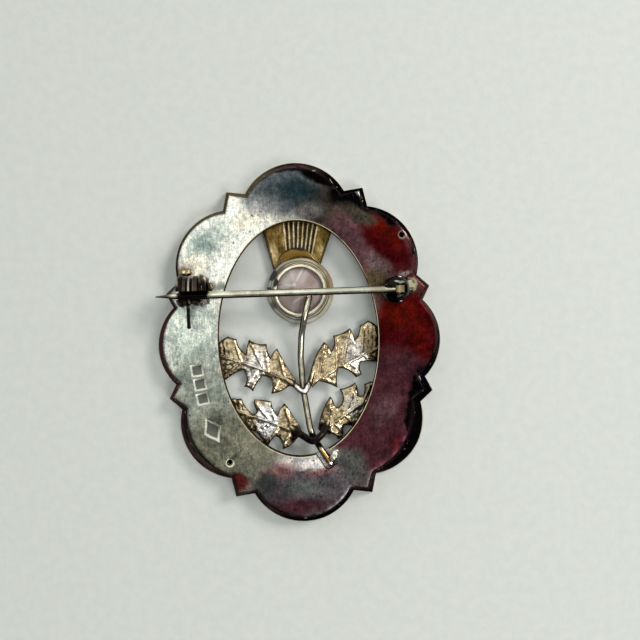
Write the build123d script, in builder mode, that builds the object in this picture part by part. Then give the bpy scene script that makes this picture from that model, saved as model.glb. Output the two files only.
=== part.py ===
"""Thistle brooch in silver and silver gilt, lying face down.

Millimetres. The brooch rests on the front edge of its rim, so +Z points out of its back.
+Y runs up through the thistle and +X to the right, seen from the back. The origin is at the
middle of the frame, on the surface that it lies on.
"""
import os
from collections import namedtuple
from math import cos, radians, sin, sqrt

from build123d import *

os.makedirs("parts", exist_ok=True)

# Seam left where one soldered casting meets another
seam = 0.03

# Frame: overall size, and the depths of its stamped section
frame_width = 39.3
frame_height = 50.0
frame_depth = 3.0
rim_edge = 0.45
rim_land = 0.7
cove_width = 1.3
field_depth = 1.25
front_sheet = 0.5
back_plate = 0.5
inner_wall = 0.5
outer_wall = 0.2
opening_width = 22.0
opening_height = 32.4
opening_x = -0.1
opening_y = 0.55
vent_diameter = 0.85
vent_run = 0.6
punch_size = 1.6
punch_depth = 0.08
lozenge_length = 3.6
lozenge_width = 2.4

# Notch that the stem's end lies in: where its mouth is, as a share of the opening's half width
notch_mouth_share = 0.26
notch_turn = -57.5
notch_width = 1.9
notch_length = 2.5

# Pin wire: its height over the back plate and its place up the brooch
wire_diameter = 0.98
pin_y = 6.79
pin_height = 2.3
pin_overhang = 2.85
pin_tip_diameter = 0.14
pin_point = 3.4
grip_start = 0.8
grip_end = 0.6
grip_slack = 0.02

# Ball joint of the pin, and how far the pivot stands in from the frame's right side
pivot_inset = 5.83
eye_diameter = 1.6
eye_thickness = 0.9
rivet_diameter = 0.6
rivet_fit = 0.03
ball_diameter = 3.8
ball_behind = 0.52
ball_below = 0.6
joint_base_diameter = 3.7
joint_base = 0.4
slot_side = 0.06
solder_diameter = 2.3
solder_height = 0.55
solder_offset = 2.05
solder_rise = 0.55

# Revolving safety catch: how far it stands in from the frame's left side, and its axis
# from the pin's
catch_inset = 5.6
catch_above = 0.12
catch_aside = 0.63
cheek_diameter = 4.4
cheek_thickness = 0.85
cheek_round = 0.8
catch_width = 4.1
foot_length = 3.5
foot_thickness = 0.25
journal_diameter = 3.1
journal_fit = 0.05
journal_inset = 0.06
roller_diameter = 4.1
roller_core = 3.6
roller_side = 0.06
roller_bore = 2.5
mouth_slack = 0.07
lever_width = 0.44
lever_thickness = 0.5
lever_reach = 4.8
lever_drop = 0.2
lever_aside = 0.56
knob_diameter = 0.58

# Stone and its setting, with the setting's front edge measured from the floor
stone_x = 0.36
stone_y = 7.16
stone_diameter = 7.86
girdle_thickness = 0.12
crown_height = 1.0
pavilion_height = 2.6
table_share = 0.58
culet_size = 0.2
culet_x = -0.55
culet_y = 0.2
stone_turn = -20
setting_diameter = 9.24
setting_front = 0.5
setting_lip = 0.32
setting_seat = 0.7
setting_gap = 0.06
setting_height = 1.96
ring_diameter = 6.9
ring_wire = 0.56

# Tuft: a fluted fan of sheet above the stone that runs in under the frame
tuft_bottom_y = 10.0
tuft_bottom_width = 6.3
tuft_bottom_x = -0.07
tuft_top_width = 12.3
tuft_top_x = 0.53
tuft_lap = 1.5
tuft_sheet = 0.4
tuft_dip = 0.44
tuft_gap = 0.06
flute_depth = 0.22
flutes = 8
flute_band = 0.53
flute_middle = 0.08
arch_width = 5.1
arch_height = 4.3
arch_rise = 3.79
arch_thickness = 0.72
arch_lift = 0.3

# Spray: stem wire, forked stalks and leaves
stem_diameter = 0.86
stem_bend = 4.0
stem_rise = 0.2
stem_over_ring = 0.33
stem_in_notch = 0.15
stem_before_notch = 0.36
stem_past_mouth = 1.64
bead_diameter = 0.85
bead_past_mouth = 1.92
stalk_diameter = 0.84
stalk_bend = 0.9
leaf_size = 10.0
leaf_thickness = 0.4
vein_root = 0.72
vein_tip = 0.3
vein_start = 1.1
vein_length = 7.8

half_width = frame_width / 2
half_height = frame_height / 2
opening_half_width = opening_width / 2
opening_half_height = opening_height / 2
seat_z = frame_depth + seam
pin_z = frame_depth + pin_height

# Corners of a quarter of the rim, as shares of the frame's half width and half height
Share = namedtuple("Share", "across up")
QUARTER = {
    "side_crest": Share(1.000, 0.000),
    "side_root": Share(0.885, 0.214),
    "low_cusp": Share(0.936, 0.292),
    "diagonal_low": Share(0.848, 0.354),
    "diagonal_crest": Share(0.796, 0.606),
    "diagonal_high": Share(0.514, 0.746),
    "high_cusp": Share(0.484, 0.850),
    "top_root": Share(0.352, 0.836),
    "top_crest": Share(0.000, 1.000),
}

# Lobes, anticlockwise from the right. Each runs from its first root over its crest to its last
# root, and a cusp follows it. A corner is its name in the quarter and the two sides that it is on.
# The last four columns say how far the back plate's edge stands in from the rim at each of them.
Lobe = namedtuple("Lobe", "first crest last cusp first_in crest_in last_in cusp_in")
LOBES = {
    "right": Lobe(
        ("side_root", 1, -1), ("side_crest", 1, 1), ("side_root", 1, 1), ("low_cusp", 1, 1),
        1.5, 1.1, 0.8, 0.9),
    "upper_right": Lobe(
        ("diagonal_low", 1, 1), ("diagonal_crest", 1, 1), ("diagonal_high", 1, 1),
        ("high_cusp", 1, 1), 0.7, 0.85, 1.1, 1.1),
    "top": Lobe(
        ("top_root", 1, 1), ("top_crest", 1, 1), ("top_root", -1, 1), ("high_cusp", -1, 1),
        1.2, 1.25, 1.1, 1.1),
    "upper_left": Lobe(
        ("diagonal_high", -1, 1), ("diagonal_crest", -1, 1), ("diagonal_low", -1, 1),
        ("low_cusp", -1, 1), 1.0, 0.85, 0.8, 0.9),
    "left": Lobe(
        ("side_root", -1, 1), ("side_crest", -1, 1), ("side_root", -1, -1), ("low_cusp", -1, -1),
        1.0, 1.15, 1.2, 1.1),
    "lower_left": Lobe(
        ("diagonal_low", -1, -1), ("diagonal_crest", -1, -1), ("diagonal_high", -1, -1),
        ("high_cusp", -1, -1), 1.3, 1.7, 0.9, 1.0),
    "bottom": Lobe(
        ("top_root", -1, -1), ("top_crest", 1, -1), ("top_root", 1, -1), ("high_cusp", 1, -1),
        1.1, 1.2, 1.1, 1.4),
    "lower_right": Lobe(
        ("diagonal_high", 1, -1), ("diagonal_crest", 1, -1), ("diagonal_low", 1, -1),
        ("low_cusp", 1, -1), 1.0, 2.2, 1.7, 1.7),
}

# Side wall of the frame over its upright edge: share of its height, and of the way in to the
# plate
Step = namedtuple("Step", "height inward")
WALL = (Step(0.00, 0.00), Step(0.41, 0.34), Step(0.79, 0.64), Step(1.00, 1.00))

# Punched squares down the left of the back plate, left blank: in from the side, up, and turn
Punch = namedtuple("Punch", "inset y turn")
PUNCHES = (Punch(5.6, -3.35, 8), Punch(5.95, -5.25, 10), Punch(6.25, -7.25, 12))
LOZENGE = Punch(7.45, -11.6, 28)

# Vents, as shares of the frame's half width and half height
VENTS = (Share(-0.509, -0.644), Share(0.740, 0.572))

# Ribs round the catch's roller, as shares of half the room between the cheeks
Rib = namedtuple("Rib", "centre width")
RIBS = (Rib(-0.68, 0.36), Rib(-0.17, 0.22), Rib(0.52, 0.50))

# Bends of the stem. The first are shares of the ring's radius from the stone's middle, and the
# others are shares of the opening. Height is a share of the way from its low run to its top.
Bend = namedtuple("Bend", "across up height")
STEM_OVER_RING = (Bend(0.36, -0.31, 1.0), Bend(0.15, -1.06, 1.0), Bend(0.0, -1.76, 0.37))
STEM_IN_OPENING = (Bend(0.02, -0.157, 0.07), Bend(0.038, -0.417, 0.0), Bend(0.118, -0.812, 0.0))

# Leaf: where it starts, as shares of the opening, how far that is over the front field, which
# way it points, how its plate falls away from the stem, and its side of the stem
Leaf = namedtuple("Leaf", "across up rise heading fall side")
LEAVES = {
    "upper_left": Leaf(-0.018, -0.404, 0.65, 158, 0.10, -1),
    "upper_right": Leaf(0.091, -0.417, 0.65, 26, 0.10, 1),
    "lower_left": Leaf(0.036, -0.836, 0.0, 160, 0.09, -1),
    "lower_right": Leaf(0.191, -0.830, 0.0, 30, 0.09, 1),
}

# Edge of each leaf, from its root up over the tuft's side and back below, as shares of the leaf
# size. Each row is the next corner, and how far the edge bows out on its way there.
Edge = namedtuple("Edge", "along reach bow")
LEAF_EDGES = {
    "upper_left": (
        Edge(0.46, 0.38, -0.01), Edge(0.50, 0.22, 0.01), Edge(0.62, 0.39, -0.01),
        Edge(0.87, 0.36, -0.03), Edge(0.83, 0.15, 0.01), Edge(1.04, 0.31, -0.03),
        Edge(1.16, 0.30, -0.01), Edge(1.26, 0.02, 0.04), Edge(1.20, -0.21, 0.02),
        Edge(0.98, -0.28, 0.01), Edge(0.79, -0.06, -0.02), Edge(0.71, -0.28, -0.04),
        Edge(0.57, -0.30, -0.02), Edge(0.52, -0.05, -0.01), Edge(0.39, -0.04, -0.01),
        Edge(0.32, -0.24, -0.02), Edge(0.12, -0.05, 0.02)),
    "upper_right": (
        Edge(0.50, 0.44, 0.04), Edge(0.52, 0.28, 0.01), Edge(0.65, 0.46, -0.03),
        Edge(0.91, 0.44, -0.02), Edge(0.88, 0.26, 0.01), Edge(1.05, 0.41, -0.02),
        Edge(1.18, 0.42, -0.01), Edge(1.26, 0.10, 0.04), Edge(1.02, -0.15, 0.03),
        Edge(0.82, -0.04, -0.01), Edge(0.76, -0.19, -0.02), Edge(0.66, -0.20, 0.01),
        Edge(0.51, 0.03, -0.03), Edge(0.37, -0.21, -0.02), Edge(0.18, 0.00, -0.01)),
    "lower_left": (
        Edge(0.41, 0.34, 0.01), Edge(0.45, 0.15, 0.01), Edge(0.59, 0.30, -0.02),
        Edge(0.83, 0.25, 0.01), Edge(0.74, 0.11, 0.01), Edge(0.78, 0.05, -0.01),
        Edge(1.00, 0.21, -0.02), Edge(1.11, 0.18, -0.01), Edge(1.18, 0.00, 0.02),
        Edge(1.12, -0.15, 0.02), Edge(0.71, -0.17, 0.01), Edge(0.61, -0.19, -0.01),
        Edge(0.44, -0.30, 0.01), Edge(0.38, -0.13, -0.01), Edge(0.29, -0.17, -0.01),
        Edge(0.23, -0.28, -0.01), Edge(0.08, -0.05, 0.02)),
    "lower_right": (
        Edge(0.44, 0.35, 0.03), Edge(0.42, 0.20, 0.01), Edge(0.47, 0.16, -0.01),
        Edge(0.60, 0.37, -0.05), Edge(0.84, 0.33, -0.02), Edge(0.78, 0.15, 0.01),
        Edge(0.84, 0.12, -0.01), Edge(0.93, 0.24, -0.01), Edge(1.08, 0.20, 0.01),
        Edge(1.10, 0.03, 0.01), Edge(1.04, -0.10, 0.02), Edge(0.48, -0.16, 0.01),
        Edge(0.39, -0.09, -0.01), Edge(0.32, -0.20, -0.01), Edge(0.22, -0.21, 0.01),
        Edge(0.19, -0.10, -0.01)),
}
LEAF_ROOT = (Share(0.06, -0.04), Share(0.06, 0.06))

# Forked stalk that carries a pair of leaves over the stem: its room over the stem, and its ends
# and bends as shares of the opening. Height is a share of the way from the leaves up to its top.
Fork = namedtuple("Fork", "room bends")
FORKS = {
    "upper": Fork(0.1, (
        Bend(-0.209, -0.327, -0.36), Bend(-0.100, -0.373, 0.30), Bend(0.055, -0.469, 1.0),
        Bend(0.127, -0.373, 0.40), Bend(0.168, -0.293, -0.20))),
    "lower": Fork(0.65, (
        Bend(-0.136, -0.750, -0.09), Bend(-0.018, -0.812, 0.44), Bend(0.150, -0.883, 1.0),
        Bend(0.264, -0.818, 0.50), Bend(0.336, -0.725, -0.06))),
}


def in_opening(across, up, z=0.0):
    """A point by its shares of the opening's half width and half height."""
    x = opening_x + across * opening_half_width
    y = opening_y + up * opening_half_height
    return Vector(x, y, z)


def rim_corner(corner, inward):
    """A corner of the rim, moved in square to the oval that the frame follows."""
    name, side_x, side_y = corner
    x = side_x * QUARTER[name].across * half_width
    y = side_y * QUARTER[name].up * half_height
    normal = Vector(x / half_width**2, y / half_height**2).normalized()
    return Vector(x, y) - normal * inward


def lobed_section(height, inward, plate_share=0.0):
    """The lobed outline at a height, set in evenly, or by a share of the way to the plate."""
    names = list(LOBES)
    with BuildSketch(Plane.XY.offset(height)) as section:
        with BuildLine():
            for name, following in zip(names, names[1:] + names[:1]):
                lobe = LOBES[name]
                after = LOBES[following]
                first = rim_corner(lobe.first, inward + plate_share * lobe.first_in)
                crest = rim_corner(lobe.crest, inward + plate_share * lobe.crest_in)
                last = rim_corner(lobe.last, inward + plate_share * lobe.last_in)
                cusp = rim_corner(lobe.cusp, inward + plate_share * lobe.cusp_in)
                start = rim_corner(after.first, inward + plate_share * after.first_in)
                ThreePointArc(first, crest, last)
                Line(last, cusp)
                Line(cusp, start)
        make_face()
    return section.sketch


def fluted_section(y, width, middle):
    """The tuft cut across: a shallow trough whose middle band is folded into flutes."""
    folds = [-1.0]
    folds += [flute_middle + flute_band * (i / flutes - 1) for i in range(2 * flutes + 1)]
    folds += [1.0]
    back = []
    for i, share in enumerate(folds):
        z = tuft_edge_z - tuft_dip * (1 - share**2)
        if i % 2 == 0 and 0 < i < len(folds) - 1:
            z -= flute_depth
        back.append((middle + width / 2 * share, z))
    front = [(x, z - tuft_sheet) for x, z in reversed(back)]
    with BuildSketch(Plane(origin=(0, y, 0), x_dir=(1, 0, 0), z_dir=(0, -1, 0))) as section:
        with BuildLine():
            Polyline(back + front, close=True)
        make_face()
    return section.sketch


def leaf_plane(leaf):
    """The sloping plane of a leaf: X runs out along it."""
    heading = radians(leaf.heading)
    along = Vector(cos(heading), sin(heading), -leaf.fall * abs(cos(heading)))
    normal = Vector(leaf.side * leaf.fall, 0, 1)
    start = in_opening(leaf.across, leaf.up, field_depth + leaf.rise)
    return Plane(origin=start, x_dir=along, z_dir=normal)


def leaf_outline(name):
    """The lobed face of a leaf on its plane, at the middle of its thickness."""
    leaf = LEAVES[name]
    root_low, root_high = [
        Vector(share.across, leaf.side * share.up) * leaf_size for share in LEAF_ROOT
    ]
    with BuildSketch(leaf_plane(leaf)) as outline:
        with BuildLine():
            Line(root_low, root_high)
            corner = root_high
            for edge in LEAF_EDGES[name]:
                following = Vector(edge.along, leaf.side * edge.reach) * leaf_size
                SagittaArc(corner, following, leaf.side * edge.bow * leaf_size)
                corner = following
            Line(corner, root_low)
        make_face()
    return outline.sketch


# Frame: flared wall, dished front, oval opening and a hollow between sheet and plate
rim_sections = [lobed_section(0, 0), lobed_section(rim_edge, 0)]
wall_height = frame_depth - rim_edge
wall_sections = [
    lobed_section(rim_edge + wall_height * step.height, 0, plate_share=step.inward)
    for step in WALL
]
dish_inset = rim_land + cove_width
dish_sections = [lobed_section(0, rim_land), lobed_section(field_depth, dish_inset)]
hollow_bottom = field_depth + front_sheet
hollow_section = lobed_section(hollow_bottom, dish_inset + outer_wall)
mouth = in_opening(notch_mouth_share, -sqrt(1 - notch_mouth_share**2))
notch_heading = Vector(cos(radians(notch_turn)), sin(radians(notch_turn)))

with BuildPart() as frame:
    loft(rim_sections, ruled=True)
    loft(wall_sections)
    loft(dish_sections, ruled=True, mode=Mode.SUBTRACT)
    with BuildSketch(Plane.XY.offset(hollow_bottom)):
        add(hollow_section)
        with Locations((opening_x, opening_y)):
            Ellipse(
                opening_half_width + inner_wall, opening_half_height + inner_wall,
                mode=Mode.SUBTRACT)
    extrude(amount=frame_depth - back_plate - hollow_bottom, mode=Mode.SUBTRACT)
    with BuildSketch(Plane.XY):
        with Locations((opening_x, opening_y)):
            Ellipse(opening_half_width, opening_half_height)
    extrude(amount=frame_depth, mode=Mode.SUBTRACT)
    with BuildSketch(Plane.XY.offset(frame_depth)):
        with Locations(*[(vent.across * half_width, vent.up * half_height) for vent in VENTS]):
            Circle(vent_diameter / 2)
    extrude(amount=-back_plate - vent_run, mode=Mode.SUBTRACT)
    with BuildSketch(Plane.XY.offset(hollow_bottom)):
        with Locations(Location(mouth, (0, 0, notch_turn))):
            Rectangle(2 * notch_length, notch_width)
    extrude(amount=frame_depth - hollow_bottom, mode=Mode.SUBTRACT)
    with BuildSketch(Plane.XY.offset(frame_depth)):
        for punch in PUNCHES:
            with Locations(Location((punch.inset - half_width, punch.y), (0, 0, punch.turn))):
                Rectangle(punch_size, punch_size)
        with Locations(Location((LOZENGE.inset - half_width, LOZENGE.y), (0, 0, LOZENGE.turn))):
            Polygon(
                (lozenge_width / 2, 0), (0, lozenge_length / 2), (-lozenge_width / 2, 0),
                (0, -lozenge_length / 2))
    extrude(amount=-punch_depth, mode=Mode.SUBTRACT)
frame.part.label = "frame"
export_step(frame.part, "parts/frame.step")

# Thistle tuft: fluted fan, trimmed to an arc above and to the setting below, with its arch band
tuft_reach = opening_y + opening_half_height + tuft_lap - stone_y
tuft_top_y = stone_y + tuft_reach + tuft_lap
tuft_edge_z = field_depth - tuft_gap
arch_top_z = tuft_edge_z - tuft_dip + arch_lift
fan_sections = [
    fluted_section(tuft_bottom_y, tuft_bottom_width, tuft_bottom_x),
    fluted_section(tuft_top_y, tuft_top_width, tuft_top_x),
]
with BuildPart() as thistle_tuft:
    loft(fan_sections, ruled=True)
    with BuildSketch(Plane.XY):
        with Locations((stone_x, stone_y)):
            Circle(tuft_reach)
    extrude(amount=frame_depth, mode=Mode.INTERSECT)
    with BuildSketch(Plane.XY.offset(arch_top_z)):
        with Locations((tuft_bottom_x, stone_y + arch_rise)):
            Ellipse(arch_width / 2, arch_height / 2)
    extrude(amount=-arch_thickness)
    with BuildSketch(Plane.XY):
        with Locations((stone_x, stone_y)):
            Circle(setting_diameter / 2 + tuft_gap)
    extrude(amount=frame_depth, mode=Mode.SUBTRACT)
thistle_tuft.part.label = "thistle_tuft"
export_step(thistle_tuft.part, "parts/thistle_tuft.step")

# Stone setting: a flared collet with a lip round the girdle and a wire ring behind
stone_radius = stone_diameter / 2
ring_radius = ring_diameter / 2
ring_z = setting_front + setting_height
girdle_z = setting_front + setting_seat
girdle_top = girdle_z + girdle_thickness
seat_radius = stone_radius / cos(radians(180 / 16)) + setting_gap
setting_profile = (
    (seat_radius, setting_front),
    (setting_diameter / 2, setting_front),
    (setting_diameter / 2, setting_front + setting_lip),
    ((ring_diameter + ring_wire) / 2 - seam, ring_z),
    ((ring_diameter - ring_wire) / 2 + seam, ring_z),
    (seat_radius, girdle_top),
)
with BuildPart() as stone_setting:
    with BuildSketch(Plane(origin=(stone_x, stone_y, 0), x_dir=(1, 0, 0), z_dir=(0, -1, 0))):
        with BuildLine():
            Polyline(*setting_profile, close=True)
        make_face()
    revolve(axis=Axis((stone_x, stone_y, 0), (0, 0, 1)))
    with Locations((stone_x, stone_y, ring_z)):
        Torus(ring_radius, ring_wire / 2)
stone_setting.part.label = "stone_setting"
export_step(stone_setting.part, "parts/stone_setting.step")

# Stone: eight main facets each side of the girdle, sixteen small ones beside it, and a table
table_radius = stone_radius * table_share
with BuildPart() as stone:
    with BuildSketch(Plane.XY.offset(girdle_top)):
        with Locations((stone_x, stone_y)):
            RegularPolygon(stone_radius, 8, major_radius=False, rotation=stone_turn)
    with BuildSketch(Plane.XY.offset(girdle_top + pavilion_height)):
        with Locations((stone_x + culet_x, stone_y + culet_y)):
            RegularPolygon(culet_size / 2, 8, major_radius=False, rotation=stone_turn)
    loft(ruled=True)
    with BuildSketch(Plane.XY.offset(girdle_z)):
        with Locations((stone_x, stone_y)):
            RegularPolygon(stone_radius, 8, major_radius=False, rotation=stone_turn)
    extrude(amount=girdle_thickness)
    with BuildSketch(Plane.XY.offset(girdle_z)):
        with Locations((stone_x, stone_y)):
            RegularPolygon(stone_radius, 8, major_radius=False, rotation=stone_turn)
    with BuildSketch(Plane.XY.offset(girdle_z - crown_height)):
        with Locations((stone_x, stone_y)):
            RegularPolygon(table_radius, 8, major_radius=False, rotation=stone_turn)
    loft(ruled=True)
    with BuildSketch(Plane.XY.offset(girdle_z - crown_height)):
        with Locations((stone_x, stone_y)):
            RegularPolygon(stone_radius, 16, major_radius=False, rotation=stone_turn)
    extrude(amount=frame_depth + pavilion_height, mode=Mode.INTERSECT)
stone.part.label = "stone"
export_step(stone.part, "parts/stone.step")

# Stem: one bent wire from the back of the stone to a bead of solder in the notch
stem_low = field_depth + stem_rise
stem_top = ring_z + (ring_wire + stem_diameter) / 2 + stem_over_ring
notch_z = hollow_bottom + stem_diameter / 2 + stem_in_notch
stem_points = []
for bend in STEM_OVER_RING:
    x = stone_x + bend.across * ring_radius
    y = stone_y + bend.up * ring_radius
    stem_points.append(Vector(x, y, stem_low + bend.height * (stem_top - stem_low)))
for bend in STEM_IN_OPENING:
    z = stem_low + bend.height * (stem_top - stem_low)
    stem_points.append(in_opening(bend.across, bend.up, z))
for distance in (-stem_before_notch, stem_past_mouth):
    stem_points.append(mouth + notch_heading * distance + Vector(0, 0, notch_z))
bead_centre = mouth + notch_heading * bead_past_mouth + Vector(0, 0, notch_z)

with BuildPart() as stem:
    with BuildLine() as stem_path:
        FilletPolyline(*stem_points, radius=stem_bend)
    with BuildSketch(Plane(stem_path.wire() @ 0, z_dir=stem_path.wire() % 0)):
        Circle(stem_diameter / 2)
    sweep(path=stem_path.wire())
    with Locations(stem_points[0]):
        Sphere(stem_diameter / 2)
    with Locations(bead_centre):
        Sphere(bead_diameter / 2)
stem.part.label = "stem"
export_step(stem.part, "parts/stem.step")


def leaf_vein(name):
    """A tapering rib along a leaf, on its plane."""
    plane = leaf_plane(LEAVES[name])
    start = plane.from_local_coords(Vector(vein_start, 0, 0))
    rib_plane = Plane(origin=start, x_dir=plane.z_dir, z_dir=plane.x_dir)
    with BuildPart(rib_plane) as vein:
        Cone(
            vein_root / 2, vein_tip / 2, vein_length,
            align=(Align.CENTER, Align.CENTER, Align.MIN))
    return vein.part


# Leaves: each pair is one casting, two plates on a forked stalk
pairs = {}
for level, fork in FORKS.items():
    leaf_z = field_depth + LEAVES[f"{level}_left"].rise
    crest_z = stem_low + (stem_diameter + stalk_diameter) / 2 + fork.room
    fork_points = [
        in_opening(bend.across, bend.up, leaf_z + bend.height * (crest_z - leaf_z))
        for bend in fork.bends
    ]
    outlines = [leaf_outline(f"{level}_{side}") for side in ("left", "right")]
    veins = [leaf_vein(f"{level}_{side}") for side in ("left", "right")]
    with BuildPart() as pair:
        for outline, vein in zip(outlines, veins):
            extrude(outline, amount=leaf_thickness / 2, both=True)
            add(vein)
        with BuildLine() as fork_path:
            FilletPolyline(*fork_points, radius=stalk_bend)
        with BuildSketch(Plane(fork_path.wire() @ 0, z_dir=fork_path.wire() % 0)):
            Circle(stalk_diameter / 2)
        sweep(path=fork_path.wire())
        with Locations(fork_points[0], fork_points[-1]):
            Sphere(stalk_diameter / 2)
    pair.part.label = f"{level}_leaves"
    pairs[level] = pair
export_step(pairs["upper"].part, "parts/upper_leaves.step")
export_step(pairs["lower"].part, "parts/lower_leaves.step")

# Hinge joint: a ball on a round base, slotted for the pin's eye, with solder beside it
pivot_x = half_width - pivot_inset
ball_x = pivot_x - ball_behind
ball_z = pin_z - ball_below
with BuildPart() as hinge_joint:
    with BuildSketch(Plane.XY.offset(seat_z)):
        with Locations((ball_x, pin_y)):
            Circle(joint_base_diameter / 2)
    extrude(amount=joint_base)
    with Locations((ball_x, pin_y, ball_z)):
        Sphere(ball_diameter / 2)
    with BuildSketch(Plane.XY.offset(seat_z)):
        with Locations((ball_x + solder_offset, pin_y + solder_rise)):
            Circle(solder_diameter / 2)
    extrude(amount=solder_height, taper=40)
    with BuildSketch(Plane.XY.offset(seat_z)):
        with Locations((ball_x, pin_y)):
            Circle(ball_diameter)
    extrude(amount=ball_diameter + ball_z, mode=Mode.INTERSECT)
    with BuildSketch(Plane.XY.offset(pin_z - eye_diameter / 2 - slot_side)):
        with Locations((pivot_x + eye_diameter / 2 + 2 * slot_side, pin_y)):
            Rectangle(
                2 * ball_diameter, eye_thickness + 2 * slot_side,
                align=(Align.MAX, Align.CENTER))
    extrude(amount=2 * ball_diameter, mode=Mode.SUBTRACT)
    with BuildSketch(Plane(origin=(pivot_x, pin_y, pin_z), x_dir=(1, 0, 0), z_dir=(0, 1, 0))):
        Circle(rivet_diameter / 2 + rivet_fit)
    extrude(amount=ball_diameter, both=True, mode=Mode.SUBTRACT)
hinge_joint.part.label = "hinge_joint"
export_step(hinge_joint.part, "parts/hinge_joint.step")

# Hinge rivet: it ends flush with the ball
ball_radius = ball_diameter / 2
rivet_half = (ball_radius**2 - (pivot_x - ball_x) ** 2 - (pin_z - ball_z) ** 2) ** 0.5
with BuildPart() as hinge_rivet:
    with BuildSketch(Plane(origin=(pivot_x, pin_y, pin_z), x_dir=(1, 0, 0), z_dir=(0, 1, 0))):
        Circle(rivet_diameter / 2)
    extrude(amount=rivet_half, both=True)
    fillet(hinge_rivet.edges().filter_by(GeomType.CIRCLE), rivet_diameter / 5)
hinge_rivet.part.label = "hinge_rivet"
export_step(hinge_rivet.part, "parts/hinge_rivet.step")

# Pin: an eye, a wire whose middle stretch is a true cylinder, and a tapered point
wire_radius = wire_diameter / 2
catch_x = catch_inset - half_width
pin_tip_x = catch_x - catch_width / 2 - pin_overhang
pin_profile = (
    (pivot_x, 0),
    (pivot_x, wire_radius + grip_slack),
    (ball_x - ball_radius - grip_start, wire_radius),
    (catch_x + catch_width / 2 + grip_end, wire_radius),
    (pin_tip_x + pin_point, wire_radius - grip_slack),
    (pin_tip_x, pin_tip_diameter / 2),
    (pin_tip_x, 0),
)
with BuildPart() as pin:
    with BuildSketch(Plane(origin=(0, pin_y, pin_z), x_dir=(1, 0, 0), z_dir=(0, -1, 0))):
        with BuildLine():
            Polyline(*pin_profile, close=True)
        make_face()
    revolve(axis=Axis((0, pin_y, pin_z), (1, 0, 0)))
    with BuildSketch(Plane(origin=(pivot_x, pin_y, pin_z), x_dir=(1, 0, 0), z_dir=(0, 1, 0))):
        Circle(eye_diameter / 2)
    extrude(amount=eye_thickness / 2, both=True)
    with BuildSketch(Plane(origin=(pivot_x, pin_y, pin_z), x_dir=(1, 0, 0), z_dir=(0, 1, 0))):
        Circle(rivet_diameter / 2 + rivet_fit)
    extrude(amount=eye_diameter, both=True, mode=Mode.SUBTRACT)
pin.part.label = "pin"
export_step(pin.part, "parts/pin.step")

# Catch: the mouth lies straight over the pin, to one side of the barrel's middle
catch_y = pin_y + catch_aside
catch_z = pin_z + catch_above
catch_plane = Plane(origin=(catch_x, catch_y, catch_z), x_dir=(0, 1, 0), z_dir=(1, 0, 0))
mouth_width = wire_diameter + 2 * mouth_slack
cheek_inside = catch_width / 2 - cheek_thickness
foot_z = seat_z - catch_z

with BuildPart() as catch_housing:
    with BuildSketch(catch_plane):
        Circle(cheek_diameter / 2)
    extrude(amount=catch_width / 2, both=True)
    fillet(catch_housing.edges().filter_by(GeomType.CIRCLE), cheek_round)
    with BuildSketch(catch_plane):
        Rectangle(foot_length, -foot_z, align=(Align.CENTER, Align.MAX))
    extrude(amount=catch_width / 2, both=True)
    with BuildSketch(catch_plane.offset(-cheek_inside)):
        with Locations((0, foot_z + foot_thickness)):
            Rectangle(
                2 * cheek_diameter, 2 * cheek_diameter, align=(Align.CENTER, Align.MIN))
    extrude(amount=2 * cheek_inside, mode=Mode.SUBTRACT)
    with BuildSketch(catch_plane):
        Circle(journal_diameter / 2 + journal_fit)
        with Locations((-catch_aside, 0)):
            Rectangle(mouth_width, cheek_diameter, align=(Align.CENTER, Align.MIN))
    extrude(amount=catch_width, both=True, mode=Mode.SUBTRACT)
catch_housing.part.label = "catch_housing"
export_step(catch_housing.part, "parts/catch_housing.step")

# Roller: a ribbed drum on two journals, cut open from its bore, with a lever across the plate
with BuildPart() as catch_roller:
    with BuildSketch(catch_plane):
        Circle(journal_diameter / 2)
    extrude(amount=catch_width / 2 - journal_inset, both=True)
    with BuildSketch(catch_plane):
        Circle(roller_core / 2)
    extrude(amount=cheek_inside - roller_side, both=True)
    for rib in RIBS:
        with BuildSketch(catch_plane.offset(rib.centre * cheek_inside)):
            Circle(roller_diameter / 2)
        extrude(amount=rib.width * cheek_inside / 2, both=True)
    with BuildSketch(catch_plane.offset(-lever_aside)):
        with Locations((0, -lever_drop)):
            Rectangle(lever_reach, lever_thickness, align=(Align.MAX, Align.CENTER))
    extrude(amount=lever_width / 2, both=True)
    with Locations((catch_x - lever_aside, catch_y - lever_reach, catch_z - lever_drop)):
        Sphere(knob_diameter / 2)
    with BuildSketch(catch_plane):
        Circle(roller_bore / 2)
        with Locations((-catch_aside, 0)):
            Rectangle(mouth_width, roller_diameter, align=(Align.CENTER, Align.MIN))
    extrude(amount=catch_width, both=True, mode=Mode.SUBTRACT)
catch_roller.part.label = "catch_roller"
export_step(catch_roller.part, "parts/catch_roller.step")
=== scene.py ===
"""Looks of the thistle brooch: worn silver and gilt, cast leaves, stone, floor, light and camera.

Shapes are built in millimetres and scaled to metres. +Z points out of the brooch's back.
"""
import math
from collections import namedtuple
from math import cos, pi, radians, sin, sqrt

import bmesh
import bpy
import numpy as np
from mathutils import Matrix, Vector, geometry, noise


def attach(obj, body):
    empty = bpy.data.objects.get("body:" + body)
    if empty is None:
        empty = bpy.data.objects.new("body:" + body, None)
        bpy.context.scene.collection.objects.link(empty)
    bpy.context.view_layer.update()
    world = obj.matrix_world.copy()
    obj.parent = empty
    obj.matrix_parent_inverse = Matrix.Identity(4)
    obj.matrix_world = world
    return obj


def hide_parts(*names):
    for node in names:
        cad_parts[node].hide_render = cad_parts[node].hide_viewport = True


MM = 0.001

# Camera over the brooch: height, the point that it looks down on, its turn, and half the field
CAMERA_HEIGHT = 123 * MM
CAMERA_OVER = (2.97 * MM, 2.98 * MM)
CAMERA_TURN = radians(-1.9)
HALF_FIELD = 44.8 * MM

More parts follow.
